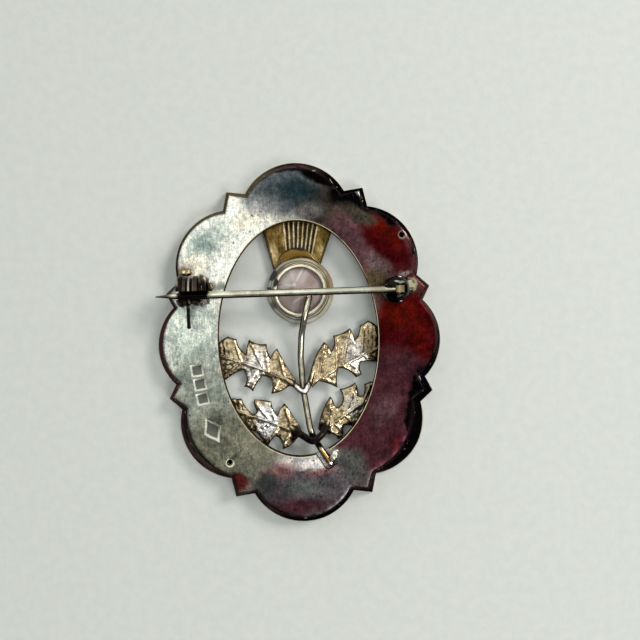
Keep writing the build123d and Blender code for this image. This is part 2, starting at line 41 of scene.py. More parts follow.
# Frame
HALF_WIDTH = 19.65
HALF_HEIGHT = 25.0
FRAME_TOP = 3.0
RIM_EDGE = 0.45
RIM_LAND = 0.7
COVE = 1.3
FIELD_Z = 1.25
EDGE_ROUND = 0.07
OPENING_CENTRE = (-0.1, 0.55)
OPENING_HALF = (11.0, 16.2)
OPENING_STEPS = 160

# Corners of a quarter of the rim from its side to its top, as shares of the frame's half sizes
QUARTER = {
    "side_crest": (1.000, 0.000),
    "side_root": (0.885, 0.214),
    "low_cusp": (0.936, 0.292),
    "diagonal_low": (0.848, 0.354),
    "diagonal_crest": (0.796, 0.606),
    "diagonal_high": (0.514, 0.746),
    "high_cusp": (0.484, 0.850),
    "top_root": (0.352, 0.836),
    "top_crest": (0.000, 1.000),
}

# How far the plate's edge stands in from the rim, anticlockwise from the right-hand lobe: at each
# lobe's first root, crest and second root, and at the cusp after it
INSETS = (
    (1.5, 1.1, 0.8, 0.9), (0.7, 0.85, 1.1, 1.1), (1.2, 1.25, 1.1, 1.1), (1.0, 0.85, 0.8, 0.9),
    (1.0, 1.15, 1.2, 1.1), (1.3, 1.7, 0.9, 1.0), (1.1, 1.2, 1.1, 1.4), (1.0, 2.2, 1.7, 1.7))

# Side wall and soft shoulder: share of the wall's height, and of the way in to the plate's edge
WALL = (
    (0.00, 0.00), (0.20, 0.17), (0.41, 0.34), (0.60, 0.49), (0.76, 0.62), (0.87, 0.75),
    (0.935, 0.87), (0.972, 0.98), (0.989, 1.12), (0.996, 1.40), (0.999, 1.75), (1.0, 2.2))
ARC_STEPS = 44
CUSP_STEPS = 5

# What is cut into the plate, placed by x, y and turn, and the height of each cut's floor
VENTS = ((-10.0, -16.1), (14.54, 14.3))
VENT_RADIUS = 0.425
VENT_FLOOR = 1.9
PUNCHES = ((-14.05, -3.35, 8), (-13.7, -5.25, 10), (-13.4, -7.25, 12))
PUNCH_HALF = (0.8, 0.8)
LOZENGE = (-12.2, -11.6, 28)
LOZENGE_HALF = (1.2, 1.8)
PUNCH_FLOOR = FRAME_TOP - 0.09
NOTCH = (2.76, -15.09, -57.5)
NOTCH_SHAPE = (
    (-2.5, -0.95), (2.1, -0.95), (2.42, -0.7), (2.5, 0), (2.42, 0.7), (2.1, 0.95), (-2.5, 0.95))
NOTCH_FLOOR = 1.75
CUT_TOP = 4.0

# Stone, and its collet: radius and height up the outside, and down the inside
STONE = (0.36, 7.16)
COLLET = ((4.08, 0.52), (4.15, 0.5), (4.56, 0.5), (4.62, 0.56), (4.62, 0.76), (4.56, 0.86),
          (4.36, 1.12), (4.14, 1.46), (4.02, 1.66), (4.01, 1.74), (3.93, 1.80), (3.78, 2.12))
COLLET_INSIDE = ((3.22, 2.3), (3.30, 2.1), (4.08, 1.34))
COLLET_STEPS = 128
RING_RADIUS = 3.45
RING_WIRE = 0.28
RING_Z = 2.46
COLLET_SHAKE = 0.035

# Fan over the stone: heights of its foot and top, middle and half width at each of them, and the
# distances from the stone's middle between which it runs
FAN_FOOT, FAN_TOP = 10.0, 19.75
FAN_ENDS = ((-0.07, 3.15), (0.53, 6.15))
FAN_REACH = (4.66, 11.05)
FAN_Z = 1.19
FAN_DISH = 0.44
FAN_THICK = 0.38
FAN_COLUMNS, FAN_ROWS = 113, 26

# Flutes, between two shares of the fan's half width
FLUTES = 8
FLUTED_FROM, FLUTED_TO = -0.45, 0.61
FOLD = 0.24

# The fan's sides are turned down over the last of their width
SIDE_FROM = 0.95
SIDE_DROP = 0.08
SHEET_SWELL = 0.02

# Arch band at the fan's foot: its oval, its inner radius about the stone, the turns between which
# it runs, and its section as a share of its width and a height
BAND_CENTRE, BAND_HALF = (-0.07, 10.95), (2.62, 2.2)
BAND_INNER = 4.62
BAND_TURNS = np.radians(np.linspace(55, 127, 49))
BAND_SECTION = ((0, 0.35), (0, 1.0), (0.06, 1.05), (0.35, 1.09), (0.7, 1.07), (0.92, 1.0),
                (1, 0.85), (1, 0.35))

# Roller of the catch: middle along x, and the height and place of its axis
ROLLER_X = -14.05
ROLLER_AXIS = (7.42, 5.42)

# Leaves: root, height, heading, fall of the plate, side of the stem, and side veins: where
# each leaves the rib, and its tip along and across, as shares of the leaf's size
Leaf = namedtuple("Leaf", "root z heading fall side veins")
LEAF_SIZE = 10.0
LEAF_HALF_THICK = 0.2
LEAF_STEP = 0.17
EDGE_STEP = 0.16
EDGE_CLEAR = 0.09
LEAF_SAG = 0.018
LEAVES = {
    "upper_left": Leaf((-0.30, -5.99), 1.9, 158, 0.10, -1, (
        (0.20, 0.44, 0.36), (0.45, 0.63, 0.37), (0.52, 0.83, 0.33), (0.85, 1.06, 0.28),
        (0.28, 0.31, -0.20), (0.52, 0.60, -0.27), (0.60, 0.69, -0.26), (0.86, 1.02, -0.24),
        (0.90, 1.20, -0.14))),
    "upper_right": Leaf((0.90, -6.21), 1.9, 26, 0.10, 1, (
        (0.18, 0.48, 0.40), (0.48, 0.66, 0.42), (0.56, 0.87, 0.40), (0.86, 1.08, 0.36),
        (0.24, 0.38, -0.17), (0.56, 0.70, -0.17), (0.66, 0.75, -0.16), (0.88, 1.02, -0.10))),
    "lower_left": Leaf((0.30, -12.99), 1.25, 160, 0.09, -1, (
        (0.16, 0.40, 0.31), (0.42, 0.60, 0.27), (0.50, 0.79, 0.22), (0.74, 1.02, 0.17),
        (0.20, 0.25, -0.24), (0.38, 0.45, -0.26), (0.52, 0.64, -0.15), (0.80, 1.06, -0.12))),
    "lower_right": Leaf((2.0, -12.9), 1.25, 30, 0.09, 1, (
        (0.18, 0.43, 0.32), (0.44, 0.61, 0.33), (0.50, 0.80, 0.29), (0.76, 0.98, 0.18),
        (0.16, 0.24, -0.18), (0.28, 0.34, -0.17), (0.46, 0.52, -0.12), (0.80, 1.02, -0.07))),
}

# Edge of each leaf as shares of its size: next corner, and how far the edge bows out before it
LEAF_EDGES = {
    "upper_left": (
        (0.46, 0.38, -0.01), (0.50, 0.22, 0.01), (0.62, 0.39, -0.01), (0.87, 0.36, -0.03),
        (0.83, 0.15, 0.01), (1.04, 0.31, -0.03), (1.16, 0.30, -0.01), (1.26, 0.02, 0.04),
        (1.20, -0.21, 0.02), (0.98, -0.28, 0.01), (0.79, -0.06, -0.02), (0.71, -0.28, -0.04),
        (0.57, -0.30, -0.02), (0.52, -0.05, -0.01), (0.39, -0.04, -0.01), (0.32, -0.24, -0.02),
        (0.12, -0.05, 0.02)),
    "upper_right": (
        (0.50, 0.44, 0.04), (0.52, 0.28, 0.01), (0.65, 0.46, -0.03), (0.91, 0.44, -0.02),
        (0.88, 0.26, 0.01), (1.05, 0.41, -0.02), (1.18, 0.42, -0.01), (1.26, 0.10, 0.04),
        (1.02, -0.15, 0.03), (0.82, -0.04, -0.01), (0.76, -0.19, -0.02), (0.66, -0.20, 0.01),
        (0.51, 0.03, -0.03), (0.37, -0.21, -0.02), (0.18, 0.00, -0.01)),
    "lower_left": (
        (0.41, 0.34, 0.01), (0.45, 0.15, 0.01), (0.59, 0.30, -0.02), (0.83, 0.25, 0.01),
        (0.74, 0.11, 0.01), (0.78, 0.05, -0.01), (1.00, 0.21, -0.02), (1.11, 0.18, -0.01),
        (1.18, 0.00, 0.02), (1.12, -0.15, 0.02), (0.71, -0.17, 0.01), (0.61, -0.19, -0.01),
        (0.44, -0.30, 0.01), (0.38, -0.13, -0.01), (0.29, -0.17, -0.01), (0.23, -0.28, -0.01),
        (0.08, -0.05, 0.02)),
    "lower_right": (
        (0.44, 0.35, 0.03), (0.42, 0.20, 0.01), (0.47, 0.16, -0.01), (0.60, 0.37, -0.05),
        (0.84, 0.33, -0.02), (0.78, 0.15, 0.01), (0.84, 0.12, -0.01), (0.93, 0.24, -0.01),
        (1.08, 0.20, 0.01), (1.10, 0.03, 0.01), (1.04, -0.10, 0.02), (0.48, -0.16, 0.01),
        (0.39, -0.09, -0.01), (0.32, -0.20, -0.01), (0.22, -0.21, 0.01), (0.19, -0.10, -0.01)),
}
FORKS = {
    "upper": ((-2.40, -4.75, 1.72), (-1.20, -5.49, 2.05), (0.51, -7.05, 2.40),
              (1.30, -5.49, 2.10), (1.75, -4.20, 1.80)),
    "lower": ((-1.60, -11.60, 1.10), (-0.30, -12.60, 2.00), (1.55, -13.75, 2.95),
              (2.80, -12.70, 2.10), (3.60, -11.20, 1.15)),
}
FORK_RADIUS = {"upper": 0.42, "lower": 0.50}
FORK_TAPER = 0.10
FORK_BEND = 0.9
VOXEL = 0.075

# Relief of a leaf's back: bend of its rib, heights and half widths of rib and veins and what they
# lose towards the tip, the groove beside the rib, cast grain, hatching, how far in from its edge
# the leaf rounds off, and how much higher than its edge it is
LEAF_BEND = 0.35
RIB_HEIGHT = 0.19
RIB_HALF = 0.32
RIB_TAPER = 0.14
VEIN_HALF = 0.17
VEIN_TAPER = 0.06
GROOVE = 0.13
GROOVE_HALF = 0.10
GROOVE_PLACE = 0.30
GRAIN = 0.10
HATCH = 0.018
HATCH_PITCH = 0.66
HATCH_SLANT = 0.55
LEAF_ROUND = 0.42
LEAF_CROWN = 0.10
LEAF_LOW = 0.08

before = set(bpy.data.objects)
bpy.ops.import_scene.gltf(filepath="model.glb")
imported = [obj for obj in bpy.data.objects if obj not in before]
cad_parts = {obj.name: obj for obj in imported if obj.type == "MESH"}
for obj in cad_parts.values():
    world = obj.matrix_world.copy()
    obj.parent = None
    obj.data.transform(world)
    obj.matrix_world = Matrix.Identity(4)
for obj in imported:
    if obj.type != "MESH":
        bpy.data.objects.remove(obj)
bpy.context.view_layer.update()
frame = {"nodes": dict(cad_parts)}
nodes = frame["nodes"]


# Meshes

def new_mesh(name, verts, faces):
    """A mesh object in millimetres."""
    mesh = bpy.data.meshes.new(name)
    mesh.from_pydata([tuple(v) for v in verts], [], [tuple(f) for f in faces])
    mesh.validate()
    obj = bpy.data.objects.new(name, mesh)
    bpy.context.scene.collection.objects.link(obj)
    return obj


def baked(obj):
    """Put what the modifiers make in place of the mesh."""
    graph = bpy.context.evaluated_depsgraph_get()
    mesh = bpy.data.meshes.new_from_object(obj.evaluated_get(graph))
    obj.modifiers.clear()
    obj.data = mesh
    return obj


def bevelled(obj, width, segments=2, angle=40):
    """Round the edges that are sharper than an angle."""
    edges = obj.modifiers.new("edges", "BEVEL")
    edges.width = width
    edges.segments = segments
    edges.limit_method = "ANGLE"
    edges.angle_limit = radians(angle)
    return obj


def paint(obj, material):
    """Give an object its one material."""
    obj.data.materials.clear()
    obj.data.materials.append(material)


def finished(obj, material, body, *replaced, sharp=40):
    """Scale a shape to metres, shade it and let it ride on its body."""
    obj.data.transform(Matrix.Scale(MM, 4))
    obj.data.shade_smooth()
    obj.data.set_sharp_from_angle(angle=radians(sharp))
    paint(obj, material)
    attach(obj, body)
    if replaced:
        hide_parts(*replaced)
    return obj


def added(verts, points):
    """Add points to a mesh's corners, and give back their numbers."""
    start = len(verts)
    verts += points
    return list(range(start, len(verts)))


def strip(faces, first, second, closed=True):
    """Quads between two rows of corner numbers."""
    count = len(first)
    for i in range(count if closed else count - 1):
        j = (i + 1) % count
        faces.append((first[i], first[j], second[j], second[i]))


def skin(faces, rows, closed=True):
    """Quads between each row of corner numbers and the next."""
    for first, second in zip(rows, rows[1:]):
        strip(faces, first, second, closed)


def inside(points, loop):
    """Whether each point lies in a closed loop."""
    x, y = points[:, 0][:, None], points[:, 1][:, None]
    a, b = loop, np.roll(loop, -1, axis=0)
    spans = (a[:, 1] > y) != (b[:, 1] > y)
    with np.errstate(divide="ignore", invalid="ignore"):
        at = (b[:, 0] - a[:, 0]) * (y - a[:, 1]) / (b[:, 1] - a[:, 1]) + a[:, 0]
    return (spans & (x < at)).sum(axis=1) % 2 == 1


def filled(loops, extra=()):
    """Triangles that fill closed loops in plan, as numbers into all loops' points and extra."""
    points, edges = [], []
    for loop in loops:
        numbers = added(points, [tuple(p) for p in loop])
        edges += zip(numbers, numbers[1:] + numbers[:1])
    points += [tuple(p) for p in extra]
    found = geometry.delaunay_2d_cdt([Vector(p) for p in points], edges, [], 0, 1e-6)
    origin = [o[0] for o in found[3]]
    triangles = [[origin[v] for v in face] for face in found[2]]
    middles = np.array(points)[np.array(triangles)].mean(axis=1)
    keep = np.zeros(len(triangles), bool)
    for loop in loops:
        keep ^= inside(middles, np.array(loop))
    return [t for t, k in zip(triangles, keep) if k]


def turned_out(obj):
    """Face all normals outwards."""
    work = bmesh.new()
    work.from_mesh(obj.data)
    bmesh.ops.remove_doubles(work, verts=work.verts, dist=1e-5)
    bmesh.ops.recalc_face_normals(work, faces=work.faces)
    work.to_mesh(obj.data)
    work.free()
    return obj


def placed(shape, x, y, turn):
    """A flat shape turned and moved to its place."""
    c, s = cos(radians(turn)), sin(radians(turn))
    return [(x + c * u - s * v, y + s * u + c * v) for u, v in shape]


def cutter(outline, floor):
    """An upright prism from a cut's floor to above the plate."""
    verts = []
    bottom = added(verts, [(x, y, floor) for x, y in outline])
    top = added(verts, [(x, y, CUT_TOP) for x, y in outline])
    faces = [bottom[::-1], top]
    strip(faces, bottom, top)
    return new_mesh("cutter", verts, faces)


def joined(objects):
    """Several mesh objects as the first of them."""
    bpy.ops.object.select_all(action="DESELECT")
    for obj in objects:
        obj.select_set(True)
    bpy.context.view_layer.objects.active = objects[0]
    bpy.ops.object.join()
    return objects[0]


def oval(centre, half, count):
    """Points round an oval."""
    turns = [2 * pi * i / count for i in range(count)]
    return [(centre[0] + half[0] * cos(t), centre[1] + half[1] * sin(t)) for t in turns]


def arc_points(first, middle, last, steps):
    """Points on the circle through three points, without the last."""
    chords = np.array((middle - first, last - first))
    sums = np.array((middle + first, last + first))
    centre = np.linalg.solve(chords, (chords * sums).sum(axis=1) / 2)
    start, through, end = (math.atan2(*(p - centre)[::-1]) for p in (first, middle, last))
    span = (end - start) % (2 * pi)
    if (through - start) % (2 * pi) > span:
        span -= 2 * pi
    radius = np.linalg.norm(first - centre)
    turns = [start + span * i / steps for i in range(steps)]
    return [centre + radius * np.array((cos(t), sin(t))) for t in turns]


def rim_corners():
    """The rim's corners, anticlockwise from the first root of the right-hand lobe."""
    up, corners = list(QUARTER.values()), []
    for side_x, side_y, order in ((1, 1, up), (-1, 1, up[::-1]), (-1, -1, up), (1, -1, up[::-1])):
        sides = (side_x * HALF_WIDTH, side_y * HALF_HEIGHT)
        corners += [np.array(shares) * sides for shares in order[:-1]]
    return corners[-1:] + corners[:-1]


def rim_outline(inward, share):
    """The lobed outline, set in evenly, and by a share of the way to the plate's edge."""
    corners = []
    for point, inset in zip(rim_corners(), [inset for lobe in INSETS for inset in lobe]):
        normal = point / np.array((HALF_WIDTH**2, HALF_HEIGHT**2))
        corners.append(point - normal / np.linalg.norm(normal) * (inward + share * inset))
    points = []
    for i in range(0, len(corners), 4):
        first, crest, last, cusp, following = (corners + corners[:1])[i:i + 5]
        points += arc_points(first, crest, last, ARC_STEPS)
        for a, b in ((last, cusp), (cusp, following)):
            points += [a + (b - a) * step / CUSP_STEPS for step in range(CUSP_STEPS)]
    return points


def frame_mesh():
    """The hollow frame's outer skin: dished front, flared wall, soft shoulder, flat plate."""
    rows = []
    for turn in range(0, 91, 15):
        c, s = cos(radians(turn)), sin(radians(turn))
        rows.append((FIELD_Z * c, RIM_LAND + COVE * (1 - s), 0))
    rows += [(0, 0.05, 0), (0.015, 0.015, 0), (0.05, 0, 0)]
    rows += [(RIM_EDGE + (FRAME_TOP - RIM_EDGE) * height, 0, share) for height, share in WALL]
    verts, faces = [], []
    loops = [
        added(verts, [(x, y, z) for x, y in rim_outline(inward, share)])
        for z, inward, share in rows]
    skin(faces, loops)
    opening = oval(OPENING_CENTRE, OPENING_HALF, OPENING_STEPS)
    inner = []
    for z, loop in ((FIELD_Z, loops[0]), (FRAME_TOP, loops[-1])):
        rim = [verts[i][:2] for i in loop]
        inner.append(added(verts, [(x, y, z) for x, y in opening]))
        numbers = loop + inner[-1]
        faces += [[numbers[v] for v in t] for t in filled([rim, opening])]
    strip(faces, *inner)
    obj = turned_out(new_mesh("brooch_frame", verts, faces))

    (a, b), (c, d) = PUNCH_HALF, LOZENGE_HALF
    shapes = [([(-a, -b), (a, -b), (a, b), (-a, b)], punch) for punch in PUNCHES]
    shapes.append(([(c, 0), (0, d), (-c, 0), (0, -d)], LOZENGE))
    cutters = [cutter(oval(at, (VENT_RADIUS,) * 2, 28), VENT_FLOOR) for at in VENTS]
    cutters += [cutter(placed(shape, *at), PUNCH_FLOOR) for shape, at in shapes]
    cutters.append(cutter(placed(NOTCH_SHAPE, *NOTCH), NOTCH_FLOOR))
    cuts = turned_out(joined(cutters))
    cut = obj.modifiers.new("cut", "BOOLEAN")
    cut.operation = "DIFFERENCE"
    cut.solver = "EXACT"
    cut.object = cuts
    baked(obj)
    bpy.data.objects.remove(cuts)
    return baked(bevelled(obj, EDGE_ROUND, angle=50))


def filleted(points, radius, steps=8):
    """A path through points with its corners rounded."""
    points = [np.array(p, float) for p in points]
    path = [points[0]]
    for before, corner, after in zip(points, points[1:], points[2:]):
        a, b = before - corner, after - corner
        length_a, length_b = np.linalg.norm(a), np.linalg.norm(b)
        a, b = a / length_a, b / length_b
        angle = math.acos(max(-1, min(1, a @ b)))
        reach = min(radius / math.tan(angle / 2), 0.45 * length_a, 0.45 * length_b)
        start, end = corner + a * reach, corner + b * reach
        for t in np.linspace(0, 1, steps + 1):
            path.append((1 - t) ** 2 * start + 2 * t * (1 - t) * corner + t * t * end)
    return path + points[-1:]


def tube(name, path, radius, sides=20):
    """A round tube with domed ends; radius is a function of the share along it."""
    path = [Vector(p) for p in path]
    lengths = np.cumsum([0.0] + [(b - a).length for a, b in zip(path, path[1:])])
    dome = [(sin(t), cos(t)) for t in np.radians((0, 20, 40, 60, 80))]
    turns = [2 * pi * k / sides for k in range(sides)]
    verts, rows = [], []
    side = Vector((0, 0, 1))
    for i, point in enumerate(path):
        along = (path[min(i + 1, len(path) - 1)] - path[max(i - 1, 0)]).normalized()
        side = (side - along * side.dot(along)).normalized()
        across = along.cross(side)
        size = radius(lengths[i] / lengths[-1])
        steps = [(0.0, 1.0)]
        if i == 0:
            steps = [(-shift, scale) for shift, scale in dome[::-1]]
        elif i == len(path) - 1:
            steps = dome
        for shift, scale in steps:
            centre = point + along * shift * size
            ring = [centre + (side * cos(t) + across * sin(t)) * size * scale for t in turns]
            rows.append(added(verts, ring))
    faces = [rows[0][::-1], rows[-1]]
    skin(faces, rows)
    return turned_out(new_mesh(name, verts, faces))


def leaf_outline(name):
    """Points round a leaf on its plane."""
    side = LEAVES[name].side
    corners = [(0.06, side * 0.06, 0)]
    corners += [(a, side * r, side * b) for a, r, b in LEAF_EDGES[name]]
    corners.append((0.06, side * -0.04, 0))
    points = []
    for (x0, y0, _), (x1, y1, bow) in zip(corners, corners[1:]):
        a, b = np.array((x0, y0)) * LEAF_SIZE, np.array((x1, y1)) * LEAF_SIZE
        span = b - a
        normal = np.array((-span[1], span[0])) / np.linalg.norm(span)
        count = max(2, int(np.linalg.norm(span) / EDGE_STEP))
        for t in np.arange(count) / count:
            points.append(a + span * t + normal * 4 * t * (1 - t) * bow * LEAF_SIZE)
    points.append(np.array(corners[-1][:2]) * LEAF_SIZE)
    return np.array(points)


def segment_distance(points, a, b):
    """Distance of points from a line between two ends, and the share along it."""
    a, b = np.array(a, float), np.array(b, float)
    span = b - a
    share = np.clip(((points - a) @ span) / (span @ span), 0, 1)
    return np.linalg.norm(points - a - share[:, None] * span, axis=1), share


def edge_distance(points, loop):
    """Distance of points in plan from a closed loop."""
    best = np.full(len(points), np.inf)
    for a, b in zip(loop, np.roll(loop, -1, axis=0)):
        best = np.minimum(best, segment_distance(points, a, b)[0])
    return best


def leaf_relief(points, leaf, from_edge):
    """Height of a leaf's back over its plate, at points in plan."""
    def bend(along):
        return LEAF_BEND * np.sin(along * pi * 0.8) * leaf.side

    along = points[:, 0] / LEAF_SIZE
    off_rib = points[:, 1] - bend(along)
    middle = np.abs(off_rib)
    rib = RIB_HALF - RIB_TAPER * np.clip(along, 0, 1.2)
    height = RIB_HEIGHT * np.exp(-(middle / rib) ** 2)
    height -= GROOVE * np.exp(-((off_rib - leaf.side * GROOVE_PLACE) / GROOVE_HALF) ** 2)
    for start, tip_x, tip_y in leaf.veins:
        root = (start * LEAF_SIZE, bend(start))
        tip = (tip_x * LEAF_SIZE, leaf.side * tip_y * LEAF_SIZE)
        distance, share = segment_distance(points, root, tip)
        vein = (RIB_HEIGHT - VEIN_TAPER * share) * np.exp(-(distance / VEIN_HALF) ** 2)
        height = np.maximum(height, vein)
    height += GRAIN * np.array([
        noise.noise(Vector((x * 1.9, y * 1.9, leaf.z * 7 + leaf.side))) * 0.55
        + noise.noise(Vector((x * 4.3, y * 4.3, leaf.z * 3 - leaf.side))) * 0.45
        for x, y in points])
    hatch = np.sin(2 * pi * (points[:, 0] - HATCH_SLANT * middle) / HATCH_PITCH)
    height += HATCH * hatch * np.clip(middle / 0.6, 0, 1)
    edge = np.clip(from_edge / LEAF_ROUND, 0, 1)
    return height * (0.25 + 0.75 * edge) + LEAF_CROWN * edge * (2 - edge) - LEAF_LOW


def leaf_axes(leaf):
    """Directions along a leaf, across it and out of its back."""
    heading = radians(leaf.heading)
    along = Vector((cos(heading), sin(heading), -leaf.fall * abs(cos(heading)))).normalized()
    normal = Vector((leaf.side * leaf.fall, 0, 1))
    normal = (normal - along * normal.dot(along)).normalized()
    return along, normal.cross(along), normal


def leaf_mesh(name):
    """A leaf as a thin plate that sags at its sides, with the relief on its back."""
    leaf = LEAVES[name]
    loop = leaf_outline(name)
    low, high = loop.min(axis=0), loop.max(axis=0)
    xs = np.arange(low[0], high[0], LEAF_STEP)
    ys = np.arange(low[1], high[1], LEAF_STEP * 0.87)
    grid = np.array([(x + (j % 2) * LEAF_STEP / 2, y) for j, y in enumerate(ys) for x in xs])
    grid = grid[inside(grid, loop)]
    grid = grid[edge_distance(grid, loop) > EDGE_CLEAR]
    points = np.vstack([loop, grid])
    relief = leaf_relief(points, leaf, edge_distance(points, loop))
    along, across, normal = leaf_axes(leaf)
    base = Vector((*leaf.root, leaf.z))
    verts = []
    for heights in (LEAF_HALF_THICK + relief, np.full(len(points), -LEAF_HALF_THICK)):
        heights = heights - LEAF_SAG * points[:, 1] ** 2
        added(verts, [
            base + along * x + across * y + normal * z for (x, y), z in zip(points, heights)])
    count = len(points)
    faces = filled([loop], grid)
    faces += [[v + count for v in reversed(t)] for t in faces]
    rim = list(range(len(loop)))
    strip(faces, rim, [v + count for v in rim])
    return turned_out(new_mesh(name, verts, faces))


def spray_mesh(level):
    """A pair of leaves with their forked stalk, cast in one."""
    thick = FORK_RADIUS[level]
    fork = filleted(FORKS[level], FORK_BEND)
    names = [f"{level}_left", f"{level}_right"]
    stalk = tube(f"{level}_spray", fork, lambda t: thick - FORK_TAPER * abs(2 * t - 1) ** 3)
    obj = joined([stalk] + [leaf_mesh(name) for name in names])
    fuse = obj.modifiers.new("fuse", "REMESH")
    fuse.mode = "VOXEL"
    fuse.voxel_size = VOXEL
    baked(obj)
    places = np.array([vertex.co for vertex in obj.data.vertices])
    distances = [np.full(len(places), 9.0)]
    for name in names:
        leaf = LEAVES[name]
        along, across, _ = leaf_axes(leaf)
        away = places - np.array((*leaf.root, leaf.z))
        plan = np.stack([away @ np.array(along), away @ np.array(across)], axis=1)
        distances.append(edge_distance(plan, leaf_outline(name)))
    rim = obj.data.attributes.new("rim_distance", "FLOAT", "POINT")
    rim.data.foreach_set("value", np.min(distances, axis=0))
    return obj


def fan_side(up):
    """Middle and half width of the fan, a share of the way up it."""
    (foot_middle, foot_half), (top_middle, top_half) = FAN_ENDS
    return up * (top_middle - foot_middle) + foot_middle, up * (top_half - foot_half) + foot_half


def fan_point(y, share):
    """The place at a height, and at a share of the fan's half width from its middle."""
    middle, half = fan_side((y - FAN_FOOT) / (FAN_TOP - FAN_FOOT))
    return middle + half * share, y


def fan_end(share, radius):
    """Height at which a line up the fan is a radius away from the stone's middle."""
    y = STONE[1] + radius
    for _ in range(12):
        x = fan_point(y, share)[0]
        y = STONE[1] + sqrt(max(radius**2 - (x - STONE[0]) ** 2, 0.01))
    return y


def fan_mesh():
    """The fluted fan, dished across its width."""
    def border(columns):
        ends = [c[-1] for c in columns[1:-1]], [c[0] for c in columns[-2:0:-1]]
        return columns[0] + ends[0] + columns[-1][::-1] + ends[1]

    verts, faces, top, under = [], [], [], []
    for share in np.linspace(-1, 1, FAN_COLUMNS):
        fluted = (share - FLUTED_FROM) / (FLUTED_TO - FLUTED_FROM)
        fold = 0.0
        if 0 < fluted < 1:
            fold = 1 - abs(sin(pi * FLUTES * fluted)) ** 0.75
            fold *= min(1, 20 * fluted, 20 * (1 - fluted))
        base = FAN_Z - FAN_DISH * (1 - share**2) - FOLD * fold
        crest = base - SIDE_DROP * (max(0, abs(share) - SIDE_FROM) / (1 - SIDE_FROM)) ** 2
        heights = np.linspace(*(fan_end(share, radius) for radius in FAN_REACH), FAN_ROWS)
        column = [fan_point(y, share) for y in heights]
        top.append(added(verts, [
            (x, y, crest + SHEET_SWELL * noise.noise(Vector((x * 0.9, y * 0.9, 3))))
            for x, y in column]))
        under.append(added(verts, [(x, y, base - FAN_THICK) for x, y in column]))
    skin(faces, top, closed=False)
    skin(faces, under, closed=False)
    strip(faces, border(top), border(under))
    return turned_out(new_mesh("tuft", verts, faces))


def band_mesh():
    """The plain arch band between the fan and the collet."""
    verts, rings = [], []
    offset = (np.array(STONE) - BAND_CENTRE) / BAND_HALF
    for turn in BAND_TURNS:
        direction = np.array((cos(turn), sin(turn)))
        step = direction / BAND_HALF
        a, b, c = step @ step, offset @ step, offset @ offset - 1
        outer = (sqrt(b * b - a * c) - b) / a if b * b > a * c else BAND_INNER
        outer = max(outer, BAND_INNER + 0.04)
        ring = [
            (*(STONE + direction * (BAND_INNER + (outer - BAND_INNER) * share)), z)
            for share, z in BAND_SECTION]
        rings.append(added(verts, ring))
    faces = [rings[0], rings[-1][::-1]]
    skin(faces, rings)
    return turned_out(new_mesh("band", verts, faces))


def setting_mesh():
    """The collet: a lip at the front, a flared wall with a step, and a ring of wire behind."""
    wire = [radians(turn) for turn in range(-30, 181, 15)]
    profile = list(COLLET)
    profile += [(RING_RADIUS + RING_WIRE * cos(t), RING_Z + RING_WIRE * sin(t)) for t in wire]
    profile += COLLET_INSIDE
    verts, faces, rings = [], [], []
    for x, y in oval((0, 0), (1, 1), COLLET_STEPS):
        ring = []
        for radius, z in profile:
            shake = COLLET_SHAKE * noise.noise(Vector((x * 3, y * 3, z * 2)))
            reach = radius + shake
            ring.append((STONE[0] + reach * x, STONE[1] + reach * y, z + shake * 0.6))
        rings.append(added(verts, ring))
    skin(faces, rings + rings[:1])
    return turned_out(new_mesh("setting", verts, faces))


# Materials

class Value:
    """What a node puts out, which can be reckoned with like a number."""

    def __init__(self, nodes, socket):
        self.nodes, self.socket = nodes, socket

    def __add__(self, other):
        return self.nodes.math("ADD", self, other)

    def __sub__(self, other):
        return self.nodes.math("SUBTRACT", self, other)

    def __mul__(self, other):
        return self.nodes.math("MULTIPLY", self, other)

    def __truediv__(self, other):
        return self.nodes.math("DIVIDE", self, other)

    def __abs__(self):
        return self.nodes.math("ABSOLUTE", self)

    def ramp(self, low, high, start=0, end=1):
        """start where this is low, end where it is high, and smooth between."""
        return self.nodes.add(
            "MapRange", (self, low, high, start, end), interpolation_type="SMOOTHSTEP")

    def part(self, axis):
        """One coordinate of a place."""
        return self.nodes.add("SeparateXYZ", (self,), axis)

    def length(self):
        return self.nodes.vector("LENGTH", self, out="Value")


class Nodes:
    """A tree of nodes and short ways to add to it."""

    def __init__(self, tree):
        self.tree = tree

    def set(self, socket, value):
        """Give a socket a number, a vector, a colour or what another node puts out."""
        if isinstance(value, Value):
            self.tree.links.new(value.socket, socket)
        else:
            socket.default_value = (*value, 1) if socket.type == "RGBA" else value

    def add(self, kind, values=(), out=0, **settings):
        """What a new node puts out, its sockets set by their order or by name or number."""
        node = self.tree.nodes.new("ShaderNode" + kind)
        for name, setting in settings.items():
            setattr(node, name, setting)
        for socket, value in values.items() if isinstance(values, dict) else enumerate(values):
            self.set(node.inputs[socket], value)
        return Value(self, node.outputs[out])

    def math(self, operation, *values):
        return self.add("Math", values, operation=operation)

    def vector(self, operation, *values, out="Vector"):
        return self.add("VectorMath", values, out, operation=operation)

    def facing(self, direction, towards):
        """The cosine of the angle between a direction and a fixed one."""
        return self.vector("DOT_PRODUCT", direction, Vector(towards).normalized(), out="Value")


